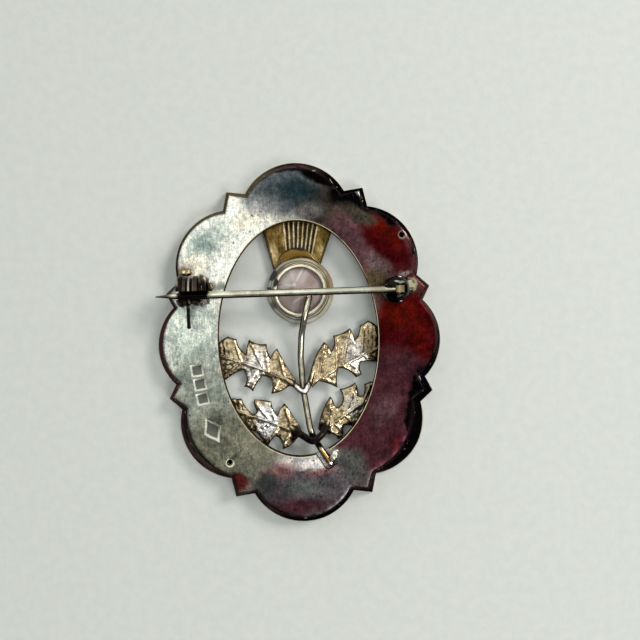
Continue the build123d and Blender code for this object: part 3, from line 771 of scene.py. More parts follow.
class Look(Nodes):
    """A material made of nodes. Places are in millimetres."""

    def __init__(self, name):
        self.material = bpy.data.materials.new(name)
        self.material.use_nodes = True
        super().__init__(self.material.node_tree)
        self.place = self.scaled(self.add("TexCoord", out="Object"), 1 / MM)

    def made(self, sockets):
        """The material, once the sockets of its surface are set."""
        for name, value in sockets.items():
            self.set(self.tree.nodes["Principled BSDF"].inputs[name], value)
        return self.material

    def scaled(self, place, factor):
        return self.add("VectorMath", {"Vector": place, "Scale": factor}, operation="SCALE")

    def noise(self, scale, detail=4, rough=0.55, stretch=None, out="Fac"):
        """Noise, scale in cells to a millimetre."""
        place = self.vector("MULTIPLY", self.place, stretch) if stretch else self.place
        return self.add("TexNoise", {
            "Vector": place, "Scale": scale, "Detail": detail, "Roughness": rough}, out)

    def mix(self, share, first, second, kind="MIX"):
        """One colour where share is 0 and another where it is 1."""
        factor, colour_a, colour_b, mixed = 0, 6, 7, 2
        return self.add(
            "Mix", {factor: share, colour_a: first, colour_b: second}, mixed,
            data_type="RGBA", blend_type=kind)

    def toned(self, color, share, first, second, amount=1):
        """A colour times one tone where share is 0 and another where it is 1."""
        return self.mix(amount, color, self.mix(share, first, second), "MULTIPLY")

    def warped(self, scale, amount):
        """Places shifted about by noise, so that soft patches get ragged edges."""
        shift = self.vector("SUBTRACT", self.noise(scale, detail=5, out="Color"), (0.5,) * 3)
        return self.vector("ADD", self.place, self.scaled(shift, amount))

    def within(self, place, x, y, half_x, half_y, turn=0):
        """Places from the middle of an oval or a rectangle in plan, as shares of its half sizes."""
        far = 1000
        return self.add(
            "Mapping", (place, (x, y, 0), (0, 0, radians(turn)), (half_x, half_y, far)),
            vector_type="TEXTURE")

    def patch(self, place, x, y, half_x, half_y, turn=0, core=0.3):
        """1 in the core of an oval seen in plan, falling to 0 at its edge."""
        return self.within(place, x, y, half_x, half_y, turn).length().ramp(core, 1, 1, 0)

    def stained(self, color, place, stains):
        """Lay soft stains over a colour: x, y, half sizes, turn, core, strength, colour."""
        for *patch, strength, tint in stains:
            color = self.mix(self.patch(place, *patch) * strength, color, tint)
        return color

    def bump(self, height, depth):
        """A surface's normals, with bumps of that depth in millimetres."""
        return self.add("Bump", {"Height": height, "Distance": depth * MM})


BRIGHT = (0.80, 0.82, 0.74)
CREAM = (0.86, 0.80, 0.66)
PALE_GREEN = (0.55, 0.62, 0.55)
GREY_GREEN = (0.27, 0.30, 0.255)
OLIVE = (0.160, 0.160, 0.118)
BLUE_GREY = (0.080, 0.090, 0.098)
NAVY = (0.016, 0.032, 0.037)
GREY = (0.125, 0.122, 0.120)
MAUVE = (0.092, 0.042, 0.048)
PURPLE = (0.052, 0.016, 0.021)
PINK = (0.20, 0.085, 0.085)
RED = (0.070, 0.004, 0.002)
MAROON = (0.040, 0.002, 0.003)
GRIME = (0.040, 0.034, 0.026)
BLACK = (0.0015, 0.0012, 0.0015)
TAN = (0.115, 0.085, 0.040)

# Tarnish on the back plate, partly painted reflection: the bright upper left and the dark
# right-hand side also stand for light and dark that the plate reflects. In the order that it is
# laid: x, y, half sizes, turn, core, strength, colour
PLATE_TARNISH_AND_REFLECTIONS = (
    # The bright upper left, partly a painted reflection of light from above on the left
    (-13, 13, 15, 13, 0, 0.5, 1, BRIGHT),
    (-10, 15.5, 4.5, 2.6, 30, 0.1, 0.8, PALE_GREEN),
    (-12.8, 13.8, 3.4, 2.6, 20, 0.2, 0.9, (0.26, 0.34, 0.31)),
    (-14.5, 10.8, 4, 2, 10, 0.2, 1, CREAM),
    (-5.6, 17.4, 4, 1.8, 25, 0.4, 1, CREAM),
    (-16.5, 1, 7.5, 10, 0, 0.5, 1, PALE_GREEN),
    (-13, -9, 8.6, 10.5, 30, 0.5, 1, GREY_GREEN),
    (-9.5, -15, 9, 7.5, -35, 0.55, 1, OLIVE),
    (-18, -1.5, 1.5, 6.5, 0, 0.3, 0.9, BRIGHT),
    (12.5, -10, 9.5, 14, 0, 0.8, 1, PURPLE),
    (8.4, -19.4, 3.6, 2.8, 0, 0.5, 1, (0.06, 0.052, 0.054)),
    (-1, 21.4, 8, 5, 0, 0.6, 1, BLUE_GREY),
    (-4.2, 18.5, 3.4, 2.2, 10, 0.3, 0.9, (0.3, 0.31, 0.31)),
    (5, 18.2, 6.5, 4.2, -25, 0.55, 1, (0.046, 0.034, 0.026)),
    (2.2, 18, 2.6, 1.6, 0, 0.3, 0.8, GREY),
    (0.3, 20.9, 5.4, 3, -8, 0.15, 1, NAVY),
    (11, 12, 9, 7.5, -45, 0.65, 1, MAUVE),
    (11, 10.6, 2.8, 1.9, -35, 0.2, 0.7, (0.17, 0.115, 0.12)),
    (12.4, 13.4, 6.4, 3.4, -46, 0.45, 1, MAROON),
    (14.6, 9.8, 2, 3, 0, 0.3, 0.8, MAROON),
    (10.6, 16.4, 5.4, 1.7, -40, 0.3, 1, RED),
    (13.4, 13.2, 2.4, 1, -50, 0.3, 0.7, RED),
    (8.4, 17.6, 4.4, 1.7, -30, 0.4, 1, GRIME),
    (6.3, 19.9, 2.9, 1.9, -20, 0.35, 1, BLACK),
    (3.2, 22.5, 5.5, 0.9, -26, 0.4, 1, BLACK),
    (-1.5, 23.8, 5, 0.6, 0, 0.4, 0.9, BLACK),
    (8.6, 19.2, 3.6, 1, -38, 0.5, 1, BLACK),
    (12.4, 16.9, 3.4, 0.8, -45, 0.4, 1, BLACK),
    (16.6, 12, 0.9, 3.4, 15, 0.4, 1, BLACK),
    (10.8, 7.8, 3, 2.8, 0, 0.3, 0.8, TAN),
    (15.5, 1.5, 7, 8.5, 0, 0.6, 1, MAROON),
    (13.6, 4.2, 4.4, 3.8, 10, 0.3, 1, RED),
    (16.6, 0.6, 2.2, 3.4, 0, 0.2, 0.8, RED),
    (17, 7.4, 2.4, 2, 0, 0.4, 0.9, (0.075, 0.026, 0.022)),
    (13.2, -6.5, 6, 6.5, 20, 0.6, 1, PURPLE),
    (9, -13, 6.5, 5.5, 45, 0.55, 1, PURPLE),
    (11.4, -9.6, 3.6, 2.4, 60, 0.1, 0.6, (0.12, 0.066, 0.074)),
    (12.8, -13.7, 1.5, 2.2, -30, 0.2, 0.7, (0.026, 0.004, 0.008)),
    (5.6, -17, 4.2, 3, 20, 0.4, 0.9, (0.085, 0.09, 0.084)),
    (-0.5, -20.2, 8.5, 5, 0, 0.6, 1, (0.075, 0.06, 0.068)),
    (0.2, -16.5, 4.6, 1.3, 0, 0.3, 1, (0.55, 0.53, 0.52)),
    (-3, -17.3, 3.6, 1.5, 10, 0.2, 0.8, PINK),
    (-5, -18.8, 2.6, 1.8, 30, 0.3, 0.9, (0.028, 0.034, 0.03)),
    (2.6, -17.7, 4, 0.8, 10, 0.2, 0.6, PINK),
    (0.2, -19.8, 5.4, 1.7, 5, 0.2, 0.8, (0.07, 0.078, 0.076)),
    (-1, -22.4, 6.5, 1.6, 0, 0.3, 0.9, PURPLE),
    (-8.9, -18.8, 2, 2, 0, 0.5, 1, (0.068, 0.013, 0.011)),
    (16.4, -5.6, 1.3, 2.7, -15, 0.5, 1, BLACK),
    (15.6, -8.9, 1.6, 3.2, -8, 0.6, 1, BLACK),
    (15.2, -12, 1.35, 2.8, -5, 0.6, 1, BLACK),
    (13.9, -15.2, 1, 2.6, -28, 0.5, 1, BLACK),
    (11.8, -17, 0.6, 2.2, -60, 0.4, 0.9, BLACK),
    (12.9, -14.4, 0.7, 1.9, -30, 0.3, 0.5, (0.13, 0.014, 0.012)),
    (-15.4, 9.9, 1.9, 1.3, 0, 0.3, 0.9, TAN),
    (-17.5, 7.6, 1.3, 1.3, 0, 0.4, 0.9, TAN),
    # A painted glint on the left-hand cusp
    (-17.1, 8, 0.35, 0.35, 0, 0.5, 1, (0.95, 0.93, 0.86)),
    (-10.4, 8.1, 1.9, 0.7, 0, 0.2, 0.8, (0.2, 0.21, 0.17)),
    (14.9, 9, 1.2, 0.5, 10, 0.1, 0.5, (0.4, 0.36, 0.34)),
)
VENT_RINGS = ((0.68, 0.64, 0.50), (0.20, 0.15, 0.12))


def plate_silver():
    """Silver with tarnish in patches, partly painted reflection, cloudy and brushed; darker on its
    shoulder, bright round the punches, and with a painted highlight along the opening's edge.
    """
    look = Look("plate_tarnish_and_painted_light")
    place = look.warped(0.5, 1.8)
    color = look.stained((0.30, 0.29, 0.27), place, PLATE_TARNISH_AND_REFLECTIONS)
    mottle = look.noise(1.3, detail=8, rough=0.75).ramp(0.36, 0.64)
    color = look.toned(color, mottle, (1.25, 1.22, 1.15), (0.70, 0.73, 0.78))
    cloudy = look.noise(0.42, detail=7, rough=0.72).ramp(0.38, 0.64)
    color = look.toned(color, cloudy, (1.28, 1.26, 1.24), (0.62, 0.64, 0.66))
    sparkle = look.noise(4.5, detail=3, rough=0.7).ramp(0.38, 0.62)
    color = look.toned(color, sparkle, (0.80, 0.80, 0.82), (1.18, 1.18, 1.15))
    brushed = look.noise(1.5, detail=5, rough=0.65, stretch=(6.0, 0.8, 1)).ramp(0.36, 0.64)
    color = look.toned(color, brushed, (0.78, 0.76, 0.76), (1.22, 1.20, 1.18))
    more_grime = look.noise(0.16, detail=2).ramp(0.35, 0.62, -0.03, 0.03)
    rubbed = look.patch(place, -11, 9, 15, 20, 0, 0.6)
    grime = look.noise(2.2, detail=2, rough=0.5) + (more_grime - rubbed * 0.05)
    color = look.mix(grime.ramp(0.675, 0.700, 0, 0.85), color, (0.012, 0.010, 0.012))

    height = look.place.part("Z")
    ragged = height + look.noise(0.7, detail=5) * 0.16
    shoulder = ragged.ramp(2.20, 2.60) * ragged.ramp(2.95, 3.06, 0.8, 0)
    color = look.mix(shoulder, color, (0.020, 0.010, 0.012))
    # A painted highlight along the opening's edge
    off_opening = look.within(look.place, *OPENING_CENTRE, *OPENING_HALF).length()
    edge_highlight = off_opening.ramp(1.004, 1.010, 1, 0) * height.ramp(2.90, 2.97)
    edge_highlight = edge_highlight * look.noise(0.3, detail=3).ramp(0.35, 0.5)
    color = look.mix(edge_highlight, color, (0.55, 0.47, 0.30))

    shapes = [(*punch, *PUNCH_HALF, "MAXIMUM") for punch in PUNCHES]
    for x, y, turn, *half, reach in [*shapes, (*LOZENGE, *LOZENGE_HALF, "ADD")]:
        away = look.vector("ABSOLUTE", look.within(look.place, x, y, *half, turn))
        worn = look.math(reach, away.part("X"), away.part("Y")) + look.noise(1.6) * 0.3
        color = look.mix(worn.ramp(1.02, 1.14, 0.75, 0), color, (0.120, 0.122, 0.104))
        rim = worn.ramp(0.88, 0.98) * worn.ramp(1.18, 1.28, 0.8, 0)
        color = look.mix(rim, color, (0.66, 0.65, 0.55))
    # Rings round the vents, and their holes painted black as painted shade
    for (x, y), tint in zip(VENTS, VENT_RINGS):
        ring = look.patch(look.place, x + 0.06, y - 0.05, 0.72, 0.72, 0, 0.6)
        color = look.mix(ring, color, tint)
        color = look.mix(look.patch(look.place, x, y, 0.44, 0.44, 0, 0.8), color, BLACK)
    front = look.mix(cloudy, (0.66, 0.58, 0.40), (0.40, 0.33, 0.21))
    scratches = look.noise(1.8, stretch=(1.0, 8.0, 1)) * 0.3
    relief = scratches + look.noise(8.0) * 0.3 + look.noise(0.22, detail=2) * 2.0
    return look.made({
        "Base Color": look.mix(height.ramp(1.35, 1.6), front, color),
        "Metallic": 1, "Roughness": look.noise(0.8, detail=6).ramp(0.3, 0.7, 0.22, 0.42),
        "Normal": look.bump(relief, 0.02)})


def wall_silver():
    """Black and brown tarnish on the frame's side wall, with painted shade and reflection, and a
    painted highlight along its foot.
    """
    look = Look("wall_tarnish_and_painted_light")
    cloud = look.noise(0.35).ramp(0.4, 0.6)
    color = look.mix(cloud, (0.018, 0.008, 0.010), (0.055, 0.034, 0.030))
    # Painted shade blackens the right and lower walls, and a painted reflection lightens the upper
    # left
    color = look.stained(color, look.warped(0.5, 1.5), (
        (-9, 18.5, 10, 8, 30, 0.5, 1, (0.085, 0.066, 0.036)),
        (-18, -2, 4, 9, 0, 0.5, 1, (0.052, 0.02, 0.024)),
        (12, -8, 12, 14, 0, 0.6, 1, BLACK),
        (4, -23, 10, 4, 0, 0.6, 1, BLACK),
        (11, 20, 12, 7, -40, 0.6, 1, BLACK)))
    height = look.place.part("Z")
    # A painted highlight along the foot, and painted glints higher up
    foot = (height + look.noise(0.25, detail=3) * 0.35).ramp(0.68, 0.84, 0.85, 0)
    glints = look.noise(1.3).ramp(0.62, 0.70, 0, 0.5) * height.ramp(2.1, 2.6)
    bright = look.math("MAXIMUM", foot, glints)
    return look.made({
        "Base Color": look.mix(bright, color, (0.62, 0.58, 0.48)), "Metallic": bright * 0.35,
        "Roughness": 0.45, "Specular IOR Level": 0,
        "Normal": look.bump(look.noise(2.0, detail=6), 0.02)})


FRONT = (0, 0, -1)


def metal_with_painted_shade(name, light, dark, roughness=0.25, stains=(), depth=0.015, grain=3.0, tarnish=0.5,
               under=FRONT, shade_at=(-0.75, -0.35), shade_tone=(0.020, 0.014, 0.010),
               speck=0.68, metallic=1, both_sides=False, detail=None, specular=0.5):
    """Metal with darker tarnish in clouds, specks and stains, and painted shade on one side.

    That side starts at one cosine towards under, and is full at another. Where it is towards the
    front, the faces that look straight out of it are clean again.
    """
    look = Look(name)
    cloud = look.noise(0.55, detail=7, rough=0.65).ramp(tarnish - 0.12, tarnish + 0.14)
    color = look.stained(look.mix(cloud, light, dark), look.warped(0.8, 0.8), stains)
    if detail:
        color = detail(look, color)
    specks = look.noise(2.8).ramp(speck, speck + 0.06)
    color = look.mix(specks, color, [0.25 * c for c in dark])
    # Painted shade: faces turned towards under are darkened, and made rougher and less metallic
    turned = look.facing(look.add("TexCoord", out="Normal"), under)
    if both_sides:
        turned = abs(turned)
    painted_shade = turned.ramp(*shade_at)
    if under == FRONT:
        painted_shade = painted_shade * turned.ramp(0.35, 0.75, 1, 0)
    rough = look.noise(1.4, detail=5).ramp(0.3, 0.7, roughness * 0.7, roughness * 1.5)
    return look.made({
        "Base Color": look.mix(painted_shade, color, shade_tone), "Roughness": rough + painted_shade * 0.3,
        "Metallic": painted_shade * (-0.9 * metallic) + metallic, "Specular IOR Level": specular,
        "Normal": look.bump(look.noise(grain, detail=6, rough=0.6), depth)})


# Bare silver shows through the gilding in the middle of each leaf
LEAF_STAINS = (
    (-6.2, -3.2, 2, 3.6, -15, 0.4, 0.9, (0.76, 0.71, 0.66)),
    (8, -2.2, 2.2, 3.6, 15, 0.4, 0.9, (0.6, 0.56, 0.51)),
    (-4.9, -10.8, 2.1, 3.4, -15, 0.5, 1, (0.84, 0.82, 0.78)),
    (7.2, -9.2, 1.8, 2.8, 15, 0.4, 0.7, (0.42, 0.4, 0.36)),
    (8.6, -6.6, 1.5, 1.5, 0, 0.3, 0.8, (0.12, 0.1, 0.08)),
    (0.55, -6.6, 1.8, 1.4, 0, 0.5, 1, (0.85, 0.8, 0.74)),
    (1.3, -13.2, 3.6, 2.3, 0, 0.75, 1, (0.003, 0.002, 0.003)),
    (2.9, -12.2, 1.4, 1.4, 0, 0.5, 1, (0.004, 0.002, 0.002)),
    (10.4, -1, 2.4, 3.6, 0, 0.4, 0.9, (0.125, 0.092, 0.045)),
    (-9, -2.2, 1.5, 1.6, 0, 0.3, 0.7, (0.78, 0.66, 0.44)),
    (4.6, -3.4, 1, 1.6, -20, 0.3, 0.6, (0.74, 0.6, 0.36)),
    (-7.6, -9.4, 0.9, 1.4, 20, 0.3, 0.6, (0.62, 0.5, 0.32)),
    (9.6, -7, 1.6, 3.2, -10, 0.3, 0.8, (0.2, 0.165, 0.11)),
)

# Lines about the setting: radius, half width, strength and colour. Dark seams between its steps,
# and bright lines along its crests
SETTING_LINES = (
    (3.66, 0.10, 0.9, (0.050, 0.038, 0.024)), (4.12, 0.05, 0.7, (0.080, 0.060, 0.032)),
    (3.34, 0.09, 0.8, (0.98, 0.95, 0.86)), (4.36, 0.16, 0.8, (0.96, 0.90, 0.70)))


def setting_lines(look, color):
    """Lines along the setting's steps, and the stains on it."""
    radius = look.within(look.place, *STONE, 1, 1).length() + look.noise(0.7, detail=3) * 0.18
    for at, half, strength, tint in SETTING_LINES:
        line = abs(radius - at)
        color = look.mix(line.ramp(half * 0.4, half, strength, 0), color, tint)
    return look.stained(color, look.warped(0.8, 0.5), (
        (4.5, 8, 0.7, 3.2, 6, 0.4, 0.9, (0.4, 0.255, 0.1)),
        (3.5, 10.3, 1.3, 0.9, -45, 0.4, 0.8, (0.46, 0.33, 0.16)),
        (-2.3, 9.9, 1.6, 0.7, 45, 0.2, 0.7, (0.17, 0.155, 0.11)),
        (0.6, 3.1, 3, 0.7, 0, 0.5, 0.8, (0.95, 0.92, 0.84)),
        (-3.4, 9.4, 0.8, 1, -30, 0.6, 1, BLACK),
        (-2.9, 8.3, 0.4, 0.8, -20, 0.6, 1, BLACK),
        (-3.6, 8.2, 0.35, 0.5, 0, 0.5, 1, (0.98, 0.96, 0.9)),
        (-3.9, 7.5, 0.5, 0.35, 0, 0.5, 1, BLACK),
        (-3.7, 6.6, 0.55, 0.6, 0, 0.5, 1, (0.95, 0.92, 0.86)),
        (-3.5, 5.2, 0.9, 0.8, -50, 0.3, 0.9, (0.12, 0.1, 0.06))))


def leaf_grain(look, color):
    """Tarnish in the hollows of the cast surface, and painted shade round a leaf's edge."""
    fine = look.noise(1.5, detail=7, rough=0.7).ramp(0.36, 0.56)
    color = look.toned(color, fine, (0.36, 0.34, 0.31), (1.15, 1.15, 1.15))
    lines = abs(look.noise(0.9, stretch=(1.0, 3.2, 1.0)) - 0.5)
    color = look.mix(lines.ramp(0.006, 0.022, 0.6, 0), color, (0.030, 0.022, 0.014))
    # Painted shade in a band round the leaf's edge
    rim = look.add("Attribute", out="Fac", attribute_name="rim_distance")
    rim = rim + look.noise(0.9, detail=3) * 0.30
    return look.mix(rim.ramp(0.24, 0.40, 0.9, 0), color, (0.022, 0.015, 0.009))


def flutes(look, color):
    """Bright ridges and black grooves in the middle of the fan."""
    middle, half = fan_side((look.place.part("Y") - FAN_FOOT) / (FAN_TOP - FAN_FOOT))
    share = (look.place.part("X") - middle) / half
    fluted = (share - FLUTED_FROM) / (FLUTED_TO - FLUTED_FROM)
    wave = abs(look.math("SINE", fluted * (FLUTES * pi)))
    outside = look.within(look.place, *BAND_CENTRE, *BAND_HALF).length().ramp(0.97, 1)
    drawn = look.noise(1.0, detail=6, rough=0.7, stretch=(2.2, 0.8, 1)).ramp(0.38, 0.62)
    color = look.toned(color, drawn, (1.35, 1.32, 1.25), (0.58, 0.55, 0.50), outside)
    within = fluted.ramp(0, 0.03) * fluted.ramp(0.97, 1, 1, 0) * outside
    crest = within * wave.ramp(0.75, 0.98, 0, 0.75)
    crest = crest * look.noise(0.6, detail=3).ramp(0.40, 0.55, 0.4, 1)
    color = look.mix(crest, color, (0.66, 0.58, 0.36))
    side = abs(share) + look.noise(0.8, detail=3) * 0.08
    color = look.mix(side.ramp(0.935, 0.975, 0, 0.85), color, (0.030, 0.020, 0.010))
    return look.mix(within * wave.ramp(0.10, 0.45, 0.8, 0), color, (0.026, 0.019, 0.009))


def roller_silver():
    """Black in the grooves, with a painted highlight on the ribs near the middle."""
    look = Look("roller_silver")
    from_axis = look.vector("SUBTRACT", look.place, (0, *ROLLER_AXIS))
    radius = look.vector("MULTIPLY", from_axis, (0, 1, 1)).length()
    worn = radius + look.noise(1.5) * 0.16
    color = look.mix(radius.ramp(1.95, 2.06), (0.003, 0.003, 0.003), (0.020, 0.014, 0.010))
    off_middle = abs(look.place.part("X") - ROLLER_X)
    # A painted highlight on the ribs near the roller's middle, its edge made uneven by noise
    rib_highlight = worn.ramp(2.02, 2.07) * radius.ramp(2.14, 2.24, 1, 0)
    rib_highlight = rib_highlight * off_middle.ramp(0.15, 0.45, 0.7, 0.06)
    color = look.mix(rib_highlight, color, (0.46, 0.40, 0.31))
    return look.made({
        "Base Color": look.mix(radius.ramp(2.25, 2.4), color, (0.008, 0.007, 0.008)),
        "Metallic": 1, "Roughness": look.noise(2.0).ramp(0.3, 0.7, 0.14, 0.32),
        "Normal": look.bump(look.noise(3.0, detail=5), 0.012)})


def glass():
    """Brownish lilac glass with light caught in three of its facets."""
    look = Look("lilac_glass")
    cloud = look.noise(0.35, detail=3).ramp(0.35, 0.65)
    color = look.mix(cloud, (0.57, 0.44, 0.41), (0.68, 0.57, 0.53))
    color = look.stained(color, look.warped(0.8, 0.15), (
        (-1.3, 9, 1.8, 1.2, 30, 0.3, 0.7, (0.92, 0.84, 0.78)),
        (1.9, 8.6, 1.2, 1.3, 0, 0.3, 0.5, (0.44, 0.31, 0.25)),
        (0.95, 9.05, 1.5, 0.75, 62, 0.2, 0.6, (0.86, 0.73, 0.69)),
        (0.36, 9.25, 1.45, 0.22, 62, 0.3, 1, (1, 0.96, 0.92)),
        (-1.6, 7.75, 1.25, 0.5, 3, 0.2, 0.9, (1, 0.97, 0.94)),
        (-0.1, 5.75, 1.05, 0.28, 33, 0.3, 0.9, (1, 0.94, 0.9)),
        (-0.38, 7.9, 0.4, 0.35, 0, 0.3, 1, (1, 1, 1)),
        (1.6, 6.1, 1.6, 1, 30, 0.3, 0.4, (0.44, 0.32, 0.3))))
    return look.made({
        "Base Color": color, "Roughness": 0.04, "Transmission Weight": 0.55, "IOR": 1.54})


def paper():
    """The pale floor."""
    look = Look("paper")
    grain = look.noise(0.8, detail=6).ramp(0.3, 0.7)
    return look.made({
        "Base Color": look.mix(grain, (0.485, 0.505, 0.474), (0.512, 0.532, 0.500)),
        "Roughness": 0.75, "Normal": look.bump(look.noise(2.0, detail=5), 0.02)})


# The pin: painted shade along its lower side
pin_silver = metal_with_painted_shade(
    "pin_silver", (0.70, 0.69, 0.56), (0.42, 0.39, 0.29), 0.18, stains=(
        # Painted shade where the pin runs inside the catch
        (-14, 7.4, 2.4, 3, 0, 0.8, 1, (0.012, 0.01, 0.009)),
        (-18.4, 7.2, 1.9, 2, 0, 0.5, 0.95, (0.055, 0.045, 0.038)),
        (7.5, 6.8, 6.5, 2, 0, 0.4, 0.7, (0.42, 0.43, 0.34)),
        (10.9, 6.8, 1.3, 1.5, 0, 0.3, 0.7, (0.3, 0.26, 0.16)),
        (13.6, 6.8, 1.1, 1.5, 0, 0.6, 0.9, (0.3, 0.235, 0.105)),
        (13, 7, 0.3, 0.3, 0, 0.4, 0.9, (0.85, 0.8, 0.66)),
    ), depth=0.006, speck=0.76, under=(0, -1, -0.10), shade_at=(0.22, 0.55), specular=0)
rivet_silver = metal_with_painted_shade("worn_silver", (0.78, 0.76, 0.70), (0.34, 0.32, 0.28), 0.2, speck=0.74)
setting_silver = metal_with_painted_shade(
    "setting_silver", (0.82, 0.74, 0.52), (0.36, 0.28, 0.14), 0.25, stains=(
        (-2.4, 3.9, 2.6, 1.6, -40, 0.3, 0.5, (0.4, 0.4, 0.36)),
    ), tarnish=0.58, metallic=0.15, detail=setting_lines)
# The stem: painted shade down both its sides
stem_silver = metal_with_painted_shade(
    "stem_silver", (0.72, 0.68, 0.53), (0.40, 0.35, 0.24), 0.18, stains=(
        (1.5, -13.6, 1.8, 1.5, 0, 0.7, 1, BLACK),
        (3, -15.8, 1.7, 1.3, -60, 0.5, 1, (0.42, 0.25, 0.1)),
        (3.8, -16.75, 0.45, 0.45, 0, 0.7, 1, (0.9, 0.88, 0.84)),
    ), depth=0.008, under=(1, 0.1, 0), shade_at=(0.40, 0.72), both_sides=True, specular=0)
# The leaves: painted shade on their sloping faces
leaf_gilt = metal_with_painted_shade(
    "leaf_gilt", (0.56, 0.45, 0.27), (0.135, 0.098, 0.052), 0.22, stains=LEAF_STAINS, depth=0.02,
    grain=4.0, tarnish=0.56, shade_at=(-0.925, -0.66), shade_tone=(0.014, 0.009, 0.007),
    detail=leaf_grain, specular=0.12)
# The fan: painted shade on its sloping faces
tuft_gilt = metal_with_painted_shade(
    "tuft_gilt", (0.23, 0.155, 0.050), (0.075, 0.048, 0.013), 0.26, stains=(
        (-4.3, 16.8, 1.9, 3.2, 10, 0.3, 0.9, (0.11, 0.066, 0.016)),
        (-3.2, 12.4, 1, 2, 10, 0.2, 0.8, (0.46, 0.36, 0.18)),
        (-5, 14.6, 0.25, 4.5, 17, 0.2, 0.8, (0.6, 0.5, 0.3)),
        (5, 15.4, 2.1, 5, -15, 0.5, 0.95, (0.062, 0.04, 0.01)),
        (3.5, 12.6, 1, 1.6, 0, 0.2, 0.8, (0.34, 0.26, 0.12)),
        (0, 11.9, 2.6, 1.1, 0, 0.5, 0.9, (0.16, 0.086, 0.016)),
        # Painted shade where the flutes step down to the arch
        (0.6, 13.1, 2.2, 0.6, 0, 0.3, 0.9, (0.02, 0.015, 0.008)),
    ), depth=0.012, shade_at=(-0.93, -0.60), shade_tone=(0.030, 0.022, 0.010), detail=flutes)
dark_silver = metal_with_painted_shade(
    "dark_silver", (0.022, 0.015, 0.010), (0.005, 0.004, 0.004), 0.14, stains=(
        (-13.2, 9.2, 2.2, 0.8, -12, 0.3, 0.8, (0.15, 0.1, 0.055)),
        (-12.3, 6, 0.5, 0.9, -20, 0.3, 0.9, (0.52, 0.48, 0.4)),
        (-15.8, 8.6, 0.3, 0.8, 10, 0.3, 0.9, (0.4, 0.36, 0.3)),
    ), shade_at=(-0.5, 0))
hinge_black = metal_with_painted_shade(
    "hinge_black", (0.014, 0.011, 0.010), (0.004, 0.003, 0.003), 0.12, stains=(
        (16.3, 7.3, 1.5, 2.4, 0, 0.75, 1, (0.46, 0.41, 0.27)),
        (15.6, 6.9, 0.4, 0.35, 0, 0.2, 0.9, (0.09, 0.06, 0.03)),
        (15.9, 7.8, 0.3, 0.4, 0, 0.2, 0.9, (0.12, 0.09, 0.05)),
        (15.4, 8.2, 0.3, 0.2, 0, 0.2, 0.9, (0.85, 0.82, 0.72)),
        (14.1, 8.75, 1.3, 0.4, -12, 0.3, 0.9, (0.55, 0.52, 0.46)),
        (12.7, 8.45, 0.9, 0.22, 12, 0.3, 0.8, (0.4, 0.37, 0.32)),
        # Painted highlights on the ball's upper and lower halves
        (13.66, 7.75, 0.85, 0.22, -8, 0.4, 1, (0.62, 0.58, 0.5)),
        (13.78, 5.87, 0.55, 0.22, 10, 0.4, 0.9, (0.55, 0.5, 0.42)),
        (11.9, 6.9, 0.25, 1, 0, 0.4, 0.8, (0.34, 0.3, 0.24)),
    ), shade_at=(-0.5, 0))
solder = metal_with_painted_shade(
    "solder", (0.66, 0.61, 0.44), (0.30, 0.25, 0.14), 0.24, stains=(
        (-13.5, 9, 3.5, 2.5, 0, 0.9, 0.9, (0.25, 0.175, 0.09)),
        (-15.3, 10.1, 0.3, 0.25, 0, 0.4, 0.9, (0.85, 0.8, 0.68)),
        (4.3, -15.6, 2, 2, 0, 0.9, 0.8, (0.36, 0.34, 0.27)),
        (4.35, -15.2, 0.35, 0.35, 0, 0.4, 0.9, (0.9, 0.88, 0.82)),
    ), depth=0.03, grain=2.5, shade_at=(-0.5, 0))


# Pieces

# How far the beads of solder are sunk into the plate
SOLDER_SINK = 0.05

# The side wall's faces lean less than this towards the back, and lie below this height
WALL_LEAN = 0.75
WALL_TOP = 2.8


def bead(name, centre, half, turn, top):
    """A small bead of solder on the plate, uneven and rounded."""
    bpy.ops.mesh.primitive_ico_sphere_add(subdivisions=5, radius=1)
    obj = bpy.context.object
    obj.name = name
    for vertex in obj.data.vertices:
        u, v, w = vertex.co
        swell = 1 + 0.20 * noise.noise(Vector((u * 1.6, v * 1.6, w * 1.6 + centre[0])))
        swell += 0.06 * noise.noise(vertex.co * 4)
        x, y = placed([(u * half[0] * swell, v * half[1] * swell)], *centre, turn)[0]
        vertex.co = (x, y, FRAME_TOP - SOLDER_SINK + w * top * swell)
    finished(obj, solder, "brooch", sharp=80)


brooch_frame = finished(frame_mesh(), plate_silver(), "brooch", "frame")
brooch_frame.data.materials.append(wall_silver())
for face in brooch_frame.data.polygons:
    if abs(face.normal.z) < WALL_LEAN and 0 < face.center.z < WALL_TOP * MM:
        face.material_index = 1
bead("notch_solder", (4.25, -15.60), (0.46, 0.95), -32, 0.24)
bead("catch_solder_left", (-15.2, 10.0), (0.95, 0.60), 10, 0.55)
bead("catch_solder_right", (-11.85, 7.95), (0.45, 0.60), 0, 0.40)
finished(joined([fan_mesh(), band_mesh()]), tuft_gilt, "brooch", "thistle_tuft", sharp=50)
finished(setting_mesh(), setting_silver, "brooch", "stone_setting", sharp=60)
for level in ("upper", "lower"):
    finished(spray_mesh(level), leaf_gilt, "brooch", f"{level}_leaves", sharp=70)
paint(nodes["stem"], stem_silver)
paint(nodes["hinge_rivet"], rivet_silver)
paint(nodes["pin"], pin_silver)
paint(nodes["hinge_joint"], hinge_black)
paint(nodes["catch_housing"], dark_silver)
paint(nodes["catch_roller"], roller_silver())
paint(nodes["stone"], glass())
bevelled(nodes["hinge_joint"], 0.05 * MM)
bevelled(nodes["catch_housing"], 0.34 * MM, segments=4)
bevelled(nodes["catch_roller"], 0.08 * MM)
bevelled(nodes["stone"], 0.05 * MM, angle=12)


# Floor, light and camera

bpy.ops.mesh.primitive_plane_add(size=2.0)
floor = bpy.context.object
floor.name = "floor"
paint(floor, paper())

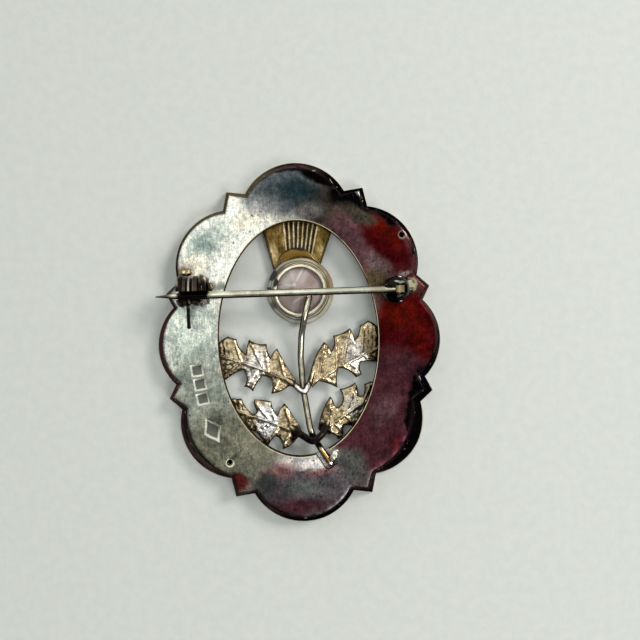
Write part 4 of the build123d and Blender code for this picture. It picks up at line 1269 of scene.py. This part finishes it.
# Strength of the light that the camera sees behind the floor's edge, and lobes of soft light:
# where from, the cosines at which each starts and is full, and its strength
BACKDROP = 0.66
LOBES_OF_LIGHT = (
    ((0, 0, 1), -1.0, -0.9, 0.10),
    ((-0.05, 0.05, 1), 0.84, 0.97, 0.85),
    ((-0.55, 0.85, 0.65), 0.45, 0.95, 1.1),
    ((0.9, 0.35, 0.55), 0.70, 0.95, 0.5),
)


def studio():
    """Soft light from above and from the top left, darker elsewhere so that metal has contrast."""
    world = bpy.data.worlds.new("studio")
    bpy.context.scene.world = world
    world.use_nodes = True
    sky = Nodes(world.node_tree)
    direction = sky.add("TexCoord", out="Generated")
    lobes = [
        sky.facing(direction, towards).ramp(low, high, 0, strength)
        for towards, low, high, strength in LOBES_OF_LIGHT]
    total = lobes[0]
    for lobe in lobes[1:]:
        total = total + lobe
    seen = sky.add("LightPath", out="Is Camera Ray")
    background = world.node_tree.nodes["Background"].inputs
    sky.set(background["Color"], (0.98, 1.0, 0.985))
    share, number_a, number_b = 0, 2, 3
    strength = sky.add("Mix", {share: seen, number_a: total, number_b: BACKDROP})
    sky.set(background["Strength"], strength)


def area_light(name, place, size, watts, color):
    """A round lamp that points at the brooch."""
    light = bpy.data.lights.new(name, "AREA")
    light.shape = "DISK"
    light.size = size
    light.energy = watts
    light.color = color
    lamp = bpy.data.objects.new(name, light)
    lamp.location = place
    lamp.rotation_euler = (-Vector(place)).to_track_quat("-Z", "Y").to_euler()
    bpy.context.scene.collection.objects.link(lamp)


studio()
area_light("key", (0.32, 0.20, 0.34), 0.16, 1.5, (1.0, 0.98, 0.95))
area_light("fill", (0.22, -0.26, 0.45), 0.25, 1.2, (0.98, 0.99, 1.0))
bpy.context.scene.view_settings.view_transform = "Standard"

camera_data = bpy.data.cameras.new("camera")
camera_data.sensor_fit = "HORIZONTAL"
camera_data.angle = 2 * math.atan(HALF_FIELD / CAMERA_HEIGHT)
camera_data.clip_start = 0.001
camera = bpy.data.objects.new("camera", camera_data)
camera.location = (*CAMERA_OVER, CAMERA_HEIGHT)
camera.rotation_euler = (0, 0, CAMERA_TURN)
bpy.context.scene.collection.objects.link(camera)
bpy.context.scene.camera = camera
